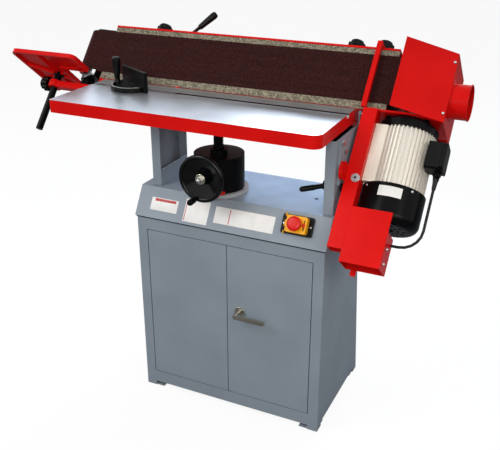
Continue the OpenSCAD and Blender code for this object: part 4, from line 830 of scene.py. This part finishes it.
@dataclass
class Base:
    """Cabinet, fascia, doors, columns and the lift's fixed parts."""

    body: str = "base"
    # A dark strip under the fascia's lip, painted shade for its shadow gap, in millimetres.
    lip_shade_x: Pair = (305.05, 307.4)
    lip_shade_y: Pair = (-195.0, -192.6)
    lip_shade_z: Pair = (615.8, 619.9)
    lip_shade_end: float = 100.0
    back_foot: float = 192.5
    back_run: float = 84.2
    back_rise: float = 703.0
    cover_half: float = 255.0
    cover_low: float = 70.0
    cover_high: float = 545.0
    cover_t: float = 1.6
    screw_x: float = 241.0
    screw_low: float = 92.0
    screw_pitch: float = 143.6
    louvre_low: float = 395.0
    louvre_pitch: float = 21.0
    label_t: float = 0.7
    # Each blank plate's name, two corners on the slope, and the two corners of its coloured band.
    labels: tuple[tuple[str, Point, Point, Point, Point], ...] = (
        ("left_plate", (-263.0, 26.0), (-171.0, 65.0), (-251.0, 54.86), (-179.0, 63.05)),
        ("middle_plate", (-147.0, 9.5), (-66.0, 78.5), (-144.0, 12.5), (-141.6, 75.5)),
        ("right_plate", (-46.0, 22.0), (144.0, 71.5), (1.5, 25.0), (3.9, 68.5)),
    )

    def build(self) -> None:
        """Makes the skins, the dark strip of painted shade under the fascia's lip, the back and the blank
        plates.
        """
        skins(
            (GREY, 2.0, 2, "fascia_housing left_column right_column"),
            (GREY, 0.8, 2, "left_trunnion right_trunnion"),
            (GREY, 1.6, 2, "left_door right_door"),
            (RED, 2.0, 2, "tilt_boss"),
            (STEEL, 0.6, 2, "frame_bolts"),
            (STEEL, 0.8, 2, "pivot_pins"),
            (CHROME_PAINTED_REFLECTION, 1.0, 2, "latch_rosette"),
            (CHROME_PAINTED_REFLECTION, 2.2, 3, "latch_handle"),
            (PLASTIC, 1.2, 2, "tilt_lever"),
            (RED_PLASTIC, 1.0, 2, "lift_lock"),
        )
        # The cabinet's inward faces take a dark finish: painted shade in the gaps round the doors.
        SoftCopy("cabinet_shell", GREY, 1.2, zones=((CABINET_INSIDE_SHADE, Region.CABINET_INSIDE),)).make()
        SoftCopy("lift_housing", CAST_BLACK, 2.0, zones=((FLANGE_GREY, Region.BELOW),)).make()
        self.lip_shade_strip()
        self.back_panel()
        self.blank_plates()

    def lip_shade_strip(self) -> None:
        """Runs a dark strip between the cabinet and the fascia's lip, round the front and both sides: painted
        shade for the shadow gap under the lip.
        """
        (inner, outer), (front, back), (low, high) = self.lip_shade_x, self.lip_shade_y, self.lip_shade_z
        strips = together(
            slab((-outer, front, low), (outer, back, high), 0.4),
            slab((-outer, back, low), (-inner, self.lip_shade_end, high), 0.4),
            slab((inner, back, low), (outer, self.lip_shade_end, high), 0.4),
        )
        piece("fascia_gasket", strips, self.body, RUBBER)

    def back_panel(self) -> None:
        """Closes the cabinet's sloping back with a screwed cover, its air slots pressed in."""
        slope = math.degrees(math.atan2(self.back_run, self.back_rise))
        place = at(0, self.back_foot, 0) @ turn(90 + slope, "X")
        half = self.cover_half
        cover = slab((-half, self.cover_low, -self.cover_t), (half, self.cover_high, -0.05), 0.6)
        piece("back_cover", cover, self.body, GREY, place)
        outside = place @ at(0, 0, -self.cover_t) @ turn(180, "Y")
        screw = turned(((0, -0.4), (5.2, -0.4), (5.2, 0.5), (4.2, 2.0), (2.2, 2.9), (0, 3.1)), 20)
        for name, x in (("left", -self.screw_x), ("right", self.screw_x)):
            column = Copies(f"back_screws_{name}", 4, (0.0, self.screw_pitch))
            column.make(screw, outside @ at(x, self.screw_low, 0), self.body, STEEL)
        louvre = slab((-62, -5.5, -0.2), (62, 5.5, 5.2), 2.2)
        rows = Copies("back_louvres", 6, (0.0, self.louvre_pitch))
        rows.make(louvre, outside @ at(0, self.louvre_low, 0), self.body, GREY)

    def blank_plates(self) -> None:
        """Lays the blank label films on the fascia's slope, each with a plain coloured band."""
        top = self.label_t
        for name, low, high, band_low, band_high in self.labels:
            piece(name, slab((*low, 0.05), (*high, top), 0.25), self.body, CARD, FASCIA)
            band = slab((*band_low, top - 0.1), (*band_high, top + 0.15), 0.1)
            piece(name + "_band", band, self.body, CARD_BAND, FASCIA)


@dataclass
class Switch:
    """Switch plate, flip cover and its buttons."""

    lid: str = "switch_lid_body"
    centre: Pair = (214.0, 59.0)
    screw_x: float = 40.0

    def build(self) -> None:
        """Makes the skins, the flip cover's pull tab, a thin black strip of painted shade for its slot, and the
        plate's two screws.
        """
        skins(
            (PLASTIC, 1.0, 2, "switch_plate"),
            (YELLOW_PLASTIC, 2.0, 3, "switch_lid"),
            (RED_PLASTIC, 1.2, 3, "switch_mushroom"),
            (GREEN_PLASTIC, 1.0, 2, "start_button"),
            (RED_PLASTIC, 1.0, 2, "stop_button"),
        )
        place = FASCIA @ at(*self.centre, 0)
        piece("lid_tab", slab((21.5, -5, 26.2), (29.5, 5, 29.5), 1.0), self.lid, RED_PLASTIC, place)
        # The slot is a flat black strip on the lid: painted shade, not a cut.
        piece("lid_slot", slab((24.5, -15, 26.15), (27.5, 15, 26.5), 0.1), self.lid, PLASTIC, place)
        screw = turned(((0, 5.9), (3.2, 5.9), (3.2, 6.6), (2.4, 7.4), (0, 7.7)), 20)
        Copies("plate_screws", 2, radius_mm=self.screw_x, step_deg=180).make(screw, place, "base", STEEL)


@dataclass
class Table:
    """Rising table, its post, the handwheel and the mitre gauge."""

    wheel_body: str = "handwheel_body"
    gauge_body: str = "mitre_head_body"
    pivot: Triple = (-410.0, -22.0, 978.3)
    gauge_turn: float = 60.0
    wheel: Triple = (-60.0, -230.0, 786.0)
    scale_r: Pair = (59.6, 64.8)
    scale_z: Pair = (-0.1, 0.5)
    scale_span: Pair = (98.0, 262.0)
    line_r: float = 60.6
    line_l: float = 3.4

    def build(self) -> None:
        """Makes the skins, the gauge's etched scale and the wheel's washer."""
        top = ((GROUND, Region.TOP_PLANE), (SLOT_SHADE, Region.MITRE_SLOT))
        SoftCopy("table_casting", CAST_RED, 2.2, 3, top).make()
        skins(
            (CAST_BLACK, 0.3, 2, "lift_post"),
            (CAST_BLACK, 1.6, 2, "mitre_head"),
            (WHEEL_BLACK, 1.0, 3, "handwheel"),
            (STEEL, 0.8, 2, "wheel_shaft"),
            (STEEL, 0.2, 2, "lift_pinion"),
            (STEEL, 0.6, 2, "mitre_bar"),
            (PLASTIC, 1.2, 3, "crank_grip mitre_handle"),
        )
        self.scale()
        washer = turned(((7.2, 0.1), (15.5, 0.1), (15.5, 1.8), (14.6, 2.6), (7.2, 2.6), (7.2, 0.1)))
        piece("wheel_washer", washer, self.wheel_body, CHROME_PAINTED_REFLECTION, at(*self.wheel) @ turn(90, "X"))

    def scale(self) -> None:
        """Lays the etched scale round the half-disc's rim, with a line every five degrees."""
        place = at(*self.pivot) @ turn(self.gauge_turn, "Z")
        strip = turned(rectangle(self.scale_r, self.scale_z), span=self.scale_span)
        piece("mitre_scale", strip, self.gauge_body, SCALE_PLATE, place)
        line = slab((0, -0.35, 0.45), (self.line_l, 0.35, 0.6))
        lines = Copies("mitre_scale_lines", 33, radius_mm=self.line_r, step_deg=5, start_deg=100)
        lines.make(line, place, self.gauge_body, BLACK)


@dataclass
class Head:
    """Belt, frame, hood, motor and everything that tilts with them; places are in the head's own frame."""

    body: str = "head_body"
    drum: Pair = (441.0, 63.0)
    plate_r: Pair = (90.05, 90.6)
    plate_z: Pair = (-238.0, -209.0)
    plate_span: Pair = (255.0, 297.0)
    fan_r: float = 90.0
    fan_screw_z: float = -207.0
    arm_bolt: Triple = (349.4, -30.0, -202.2)
    bolt_head: float = 3.9
    port_end: Triple = (590.2, 58.0, 97.0)
    port_r: float = 50.4
    bead_r: float = 1.9
    guard_left: float = -560.0
    guard_back: float = 140.0
    guard_pitch: float = 181.6
    guard_rows: tuple[tuple[str, float], ...] = (("upper", 194.0), ("lower", 24.0))
    lap_low: Triple = (-588.0, -12.7, 10.4)
    lap_high: Triple = (318.0, -12.05, 33.4)
    lever_foot: Triple = (-344.0, 40.0, 218.0)
    lever_lean: float = 39.0
    axle_end: Triple = (-660.0, 25.5, 196.0)
    lead_r: float = 4.0
    lead_x: float = 550.0
    lead_y: float = 40.0
    lead_top: float = -135.0
    lead_low: float = -355.0
    lead_bend: float = 56.0
    lead_stop: float = 473.0
    gland_l: float = 13.0

    def build(self) -> None:
        """Makes the skins, then the trim of the motor, the hood, the guard and the levers."""
        skins(
            (RED, 0.8, 2, "rear_guard dust_port"),
            (RED, 1.2, 2, "drive_hood junction_box"),
            (RED, 1.6, 2, "stop_bar end_table"),
            (RED, 2.0, 2, "tilt_arm end_bracket"),
            (BLACK, 0.8, 2, "fan_cover"),
            (BLACK, 1.0, 2, "end_post"),
            (BLACK, 2.0, 2, "motor_bell"),
            (PAD, 0.8, 2, "platen_pad"),
            (STEEL, 0.4, 2, "head_bolts"),
            (STEEL, 0.8, 2, "idler_axle"),
            (STEEL, 1.0, 2, "drive_drum idler_drum"),
            (PLASTIC, 0.5, 2, "motor_fan"),
            (PLASTIC, 1.0, 2, "tracking_knob"),
            (PLASTIC, 1.2, 2, "tension_lever stop_knob left_guard_knob right_guard_knob end_knob"),
            (PLASTIC, 3.0, 2, "terminal_box"),
        )
        # The frame's downward faces over the motor are painted black: painted shade under the hood.
        SoftCopy("belt_frame", RED, 1.0, zones=((BLACK, Region.UNDER_MOTOR),)).make()
        SoftCopy("motor_stator", ALUMINIUM, 0.6, zones=((FOOT_PAINT, Region.MOTOR_FOOT),)).make()
        SoftCopy("sanding_belt", GRIT, 0.0, zones=((BACKING, Region.INSIDE_LOOP),)).make()
        SoftCopy("idler_fork", BLACK, 2.0, zones=((STEEL, Region.FORK_NOSE),)).make()
        self.motor_trim()
        self.hood_trim()
        self.guard_trim()
        self.lever_trim()
        self.lead()

    def motor_trim(self) -> None:
        """Wraps a blank rating plate round the fan cover, and sets the cover's screws."""
        axis = HEAD @ at(*self.drum, 0)
        film = turned(rectangle(self.plate_r, self.plate_z), 14, span=self.plate_span)
        piece("motor_plate", film, self.body, CARD, axis)
        profile = ((0, -0.5), (4.2, -0.5), (4.2, 0.6), (3.4, 1.9), (1.8, 2.6), (0, 2.8))
        ring = Copies("fan_cover_screws", 4, radius_mm=self.fan_r, step_deg=90, start_deg=45)
        ring.make(turned(profile, 20, turn(90, "Y")), axis @ at(0, 0, self.fan_screw_z), self.body, STEEL)

    def hood_trim(self) -> None:
        """Sets the arm bolt's washer, a flat black hexagon of painted shade for its socket, and the dust port's
        rolled rim.
        """
        seat = HEAD @ at(*self.arm_bolt) @ turn(90, "X")
        washer = turned(((7.8, 0), (12.5, 0), (12.5, 1.2), (12.0, 1.6), (7.8, 1.6), (7.8, 0)), 40)
        piece("arm_bolt_washer", washer, self.body, STEEL, seat)
        # The socket is a flat black hexagon on the bolt's head: painted shade, not a recess.
        socket = turned(((0, 0), (4.0, 0), (4.0, 0.3), (0, 0.3)), 6)
        piece("arm_bolt_socket", socket, self.body, PLASTIC, seat @ at(0, 0, self.bolt_head))
        angles = [math.radians(36 * i) for i in range(11)]
        loop = [(self.port_r + self.bead_r * math.cos(a), self.bead_r * math.sin(a)) for a in angles]
        piece("dust_port_bead", turned(loop, 72), self.body, RED, HEAD @ at(*self.port_end) @ turn(90, "Y"))

    def guard_trim(self) -> None:
        """Sets the rear guard's two rows of screws, and laps the felt over the lower flange's edge."""
        screw = turned(((0, -0.5), (5.0, -0.5), (5.0, 0.6), (4.0, 2.1), (2.2, 3.0), (0, 3.2)), 20)
        for name, z in self.guard_rows:
            seat = HEAD @ at(self.guard_left, self.guard_back, z) @ turn(-90, "X")
            Copies(f"guard_screws_{name}", 6, (self.guard_pitch, 0.0)).make(screw, seat, self.body, STEEL)
        piece("pad_lower_lap", slab(self.lap_low, self.lap_high, 0.2), self.body, PAD, HEAD)

    def lever_trim(self) -> None:
        """Slips the moulded grip over the tension lever, and caps the idler axle with its nut."""
        foot = ((0, 44), (7.1, 44), (8.6, 46), (9.2, 52))
        knob = ((11.6, 98), (11.8, 106), (11.0, 112), (8.4, 116), (4, 117.4), (0, 117.6))
        lever = HEAD @ at(*self.lever_foot) @ turn(self.lever_lean, "Y")
        piece("tension_grip", turned((*foot, *knob), 32), "tension_body", PLASTIC, lever)
        washer = turned(((0, 0.05), (15, 0.05), (15, 1.8), (0, 1.8)), 40)
        hexagon = turned(((0, 1.8), (11, 1.8), (11, 7.4), (9.4, 8.8), (0, 8.8)), 6)
        piece("idler_axle_nut", together(washer, hexagon), "fork_body", STEEL, HEAD @ at(*self.axle_end))

    def route(self) -> list[Vector]:
        """Gives the lead's line: down from the gland, round one bend, into the junction box's side."""
        corner = self.lead_low + self.lead_bend
        drop = [(self.lead_x, self.lead_top + (corner - self.lead_top) * i / 5) for i in range(6)]
        bend = []
        for i in range(1, 6):
            a = math.radians(18 * i)
            x = self.lead_x - self.lead_bend * (1 - math.cos(a))
            bend.append((x, corner - self.lead_bend * math.sin(a)))
        run = [(bend[-1][0] + (self.lead_stop - bend[-1][0]) * i / 3, self.lead_low) for i in range(1, 4)]
        return [HEAD @ (Vector((x, self.lead_y, z)) * MM) for x, z in drop + bend + run]

    def lead(self) -> None:
        """Sweeps the lead's sheath along its route, with the tapered sleeve under the gland."""
        route = self.route()
        curve = bpy.data.curves.new("motor_lead_sheath", "CURVE")
        curve.dimensions = "3D"
        curve.bevel_depth = self.lead_r * MM
        curve.bevel_resolution = 5
        curve.use_fill_caps = True
        spline = curve.splines.new("POLY")
        spline.points.add(len(route) - 1)
        for point, spot in zip(spline.points, route):
            point.co = (*spot, 1)
        swept = link(curve, "motor_lead_sheath")
        mesh = final_mesh(swept)
        bpy.data.objects.remove(swept)
        mesh.materials.clear()
        mesh.shade_smooth()
        sheath = settle(link(mesh, "motor_lead_sheath"), self.body, RUBBER, "motor_lead")
        collar = ((4.2, 0), (8.2, 0), (8.2, -4), (7.2, -6))
        taper = ((5.4, -30), (4.6, -32), (4.2, -32), (4.2, 0))
        seat = HEAD @ at(self.lead_x, self.lead_y, self.lead_top - self.gland_l)
        piece("lead_strain_relief", turned((*collar, *taper), 28), self.body, RUBBER, seat)


@dataclass
class Lamp:
    """A soft square lamp; lengths are in metres, its power in watts and its beam in degrees."""

    name: str
    place: Point
    aim: Point
    size: float
    power: float
    tint: str = "#ffffff"
    spread: float = 180.0
    mirrored: bool = True
    sheen_on: str = ""

    def make(self) -> None:
        """Sets the lamp up; one with a sheen is only mirrored, and only in that solid's skin."""
        data = bpy.data.lights.new(self.name, "AREA")
        data.size = self.size
        data.energy = self.power
        data.color = linear(self.tint)[:3]
        data.spread = math.radians(self.spread)
        obj = link(data, self.name)
        obj.visible_camera = False
        obj.visible_glossy = self.mirrored
        obj.location = self.place
        obj.rotation_euler = (Vector(self.aim) - Vector(self.place)).to_track_quat("-Z", "Y").to_euler()
        if self.sheen_on:
            obj.visible_diffuse = False
            obj.light_linking.receiver_collection = bpy.data.collections.new(self.name)
            obj.light_linking.receiver_collection.objects.link(bpy.data.objects[self.sheen_on + "_skin"])


@dataclass
class Studio:
    """Pale floor, soft lamps and the photograph's camera."""

    camera_mm: Triple = (914.0, -1971.5, 1534.0)
    azimuth: float = 25.2
    down: float = 24.05
    lens_mm: float = 54.36
    sensor_mm: float = 36.0
    floor_half: float = 20.0
    floor_z: float = -0.5
    lamps: tuple[Lamp, ...] = (
        Lamp("key", (-2.2, -2.6, 3.4), (0, 0, 0.8), 2.2, 76),
        Lamp("fill", (1.9, -3.3, 2.4), (0.1, 0, 0.8), 2.4, 33, "#fff4e6"),
        Lamp("mirror_0", (-0.66, 2.7, 2.0), (0.1, 0, 0.95), 1.1, 94, "#e0eeff", sheen_on="table_casting"),
        Lamp("mirror_1", (-2.6, 2.7, 2.0), (-0.4, 0, 0.95), 1.8, 18, "#d6e8ff", sheen_on="table_casting"),
        Lamp("mirror_2", (-0.8, 2.7, 2.0), (0.1, 0, 0.7), 1.6, 66, "#a9d0ff", sheen_on="fascia_housing"),
        Lamp("side", (1.7, -1.0, 1.5), (0.4, -0.17, 0.66), 0.7, 0.6, "#fff4e6", 44),
        Lamp("rear", (0.4, 3.4, 2.8), (0, 0, 0.8), 2.4, 40, "#e9f2ff", mirrored=False),
        Lamp("left", (-3.3, 0.5, 2.0), (-0.2, 0, 0.7), 2.0, 16),
        Lamp("low_back", (0.35, 1.6, 1.25), (0.1, 0, 0.7), 0.9, 20, "#dcebff", mirrored=False),
        Lamp("spark", (0.7, -2.9, 1.85), (-0.06, -0.23, 0.8), 0.3, 12),
    )

    def build(self) -> None:
        """Sets up the camera, the floor, the world and, round the finished skins, the lamps."""
        self.camera()
        self.floor()
        self.world()
        for lamp in self.lamps:
            lamp.make()

    def camera(self) -> None:
        """Places the camera where the photograph was taken from."""
        data = bpy.data.cameras.new("camera")
        data.sensor_width = self.sensor_mm
        data.lens = self.lens_mm
        data.clip_end = 50
        obj = link(data, "camera")
        obj.location = Vector(self.camera_mm) * MM
        obj.rotation_euler = (math.radians(90 - self.down), 0, math.radians(self.azimuth))
        bpy.context.scene.camera = obj

    def floor(self) -> None:
        """Lays a wide pale floor that keeps the shadow and fades to white for the camera."""

        def sheet(bm: BMesh) -> None:
            """Adds one wide face."""
            bmesh.ops.create_grid(bm, x_segments=1, y_segments=1, size=self.floor_half)

        obj = mesh_from("floor", sheet, at(0, 0, self.floor_z))
        material = bpy.data.materials.new("pale_floor")
        material.use_nodes = True
        tree = material.node_tree
        tree.nodes.clear()
        seen = add_node(tree, "ShaderNodeLightPath").outputs["Is Camera Ray"]
        shades = {"A": linear("#868686"), "B": linear("#ffffff")}
        tint = add_node(tree, "ShaderNodeMix", {"data_type": "RGBA"}, shades, {"Factor": seen})
        matt = add_node(tree, "ShaderNodeBsdfDiffuse", links={"Color": tint.outputs["Result"]})
        white = add_node(tree, "ShaderNodeEmission", sockets={"Color": linear("#ffffff"), "Strength": 1.0})
        most = add_node(tree, "ShaderNodeMath", {"operation": "MULTIPLY"}, {1: 0.9}, {0: seen})
        pair = {0: most.outputs[0], 1: matt.outputs[0], 2: white.outputs[0]}
        both = add_node(tree, "ShaderNodeMixShader", links=pair)
        add_node(tree, "ShaderNodeOutputMaterial", links={0: both.outputs[0]})
        obj.data.materials.append(material)

    def world(self) -> None:
        """Sets the standard view and a pale world that the camera and mirrors see as white."""
        scene = bpy.context.scene
        scene.view_settings.view_transform = "Standard"
        scene.world = bpy.data.worlds.new("studio")
        scene.world.use_nodes = True
        tree = scene.world.node_tree
        tree.nodes.clear()
        path = add_node(tree, "ShaderNodeLightPath").outputs
        seen = path["Is Camera Ray"]
        for kind in ("Is Glossy Ray", "Is Transmission Ray"):
            pair = {0: seen, 1: path[kind]}
            seen = add_node(tree, "ShaderNodeMath", {"operation": "MAXIMUM"}, links=pair).outputs[0]
        lit = add_node(tree, "ShaderNodeBackground", sockets={"Color": linear("#f3f7ff"), "Strength": 0.46})
        white = add_node(tree, "ShaderNodeBackground", sockets={"Color": linear("#ffffff"), "Strength": 1.0})
        both = add_node(tree, "ShaderNodeMixShader", links={0: seen, 1: lit.outputs[0], 2: white.outputs[0]})
        add_node(tree, "ShaderNodeOutputWorld", links={0: both.outputs[0]})


def main() -> None:
    """Builds every sub-assembly in order, then the studio round them."""
    logging.basicConfig(level=logging.INFO, format="%(message)s")
    for part in (Base(), Switch(), Table(), Head(), Studio()):
        part.build()


if __name__ == "__main__":
    main()
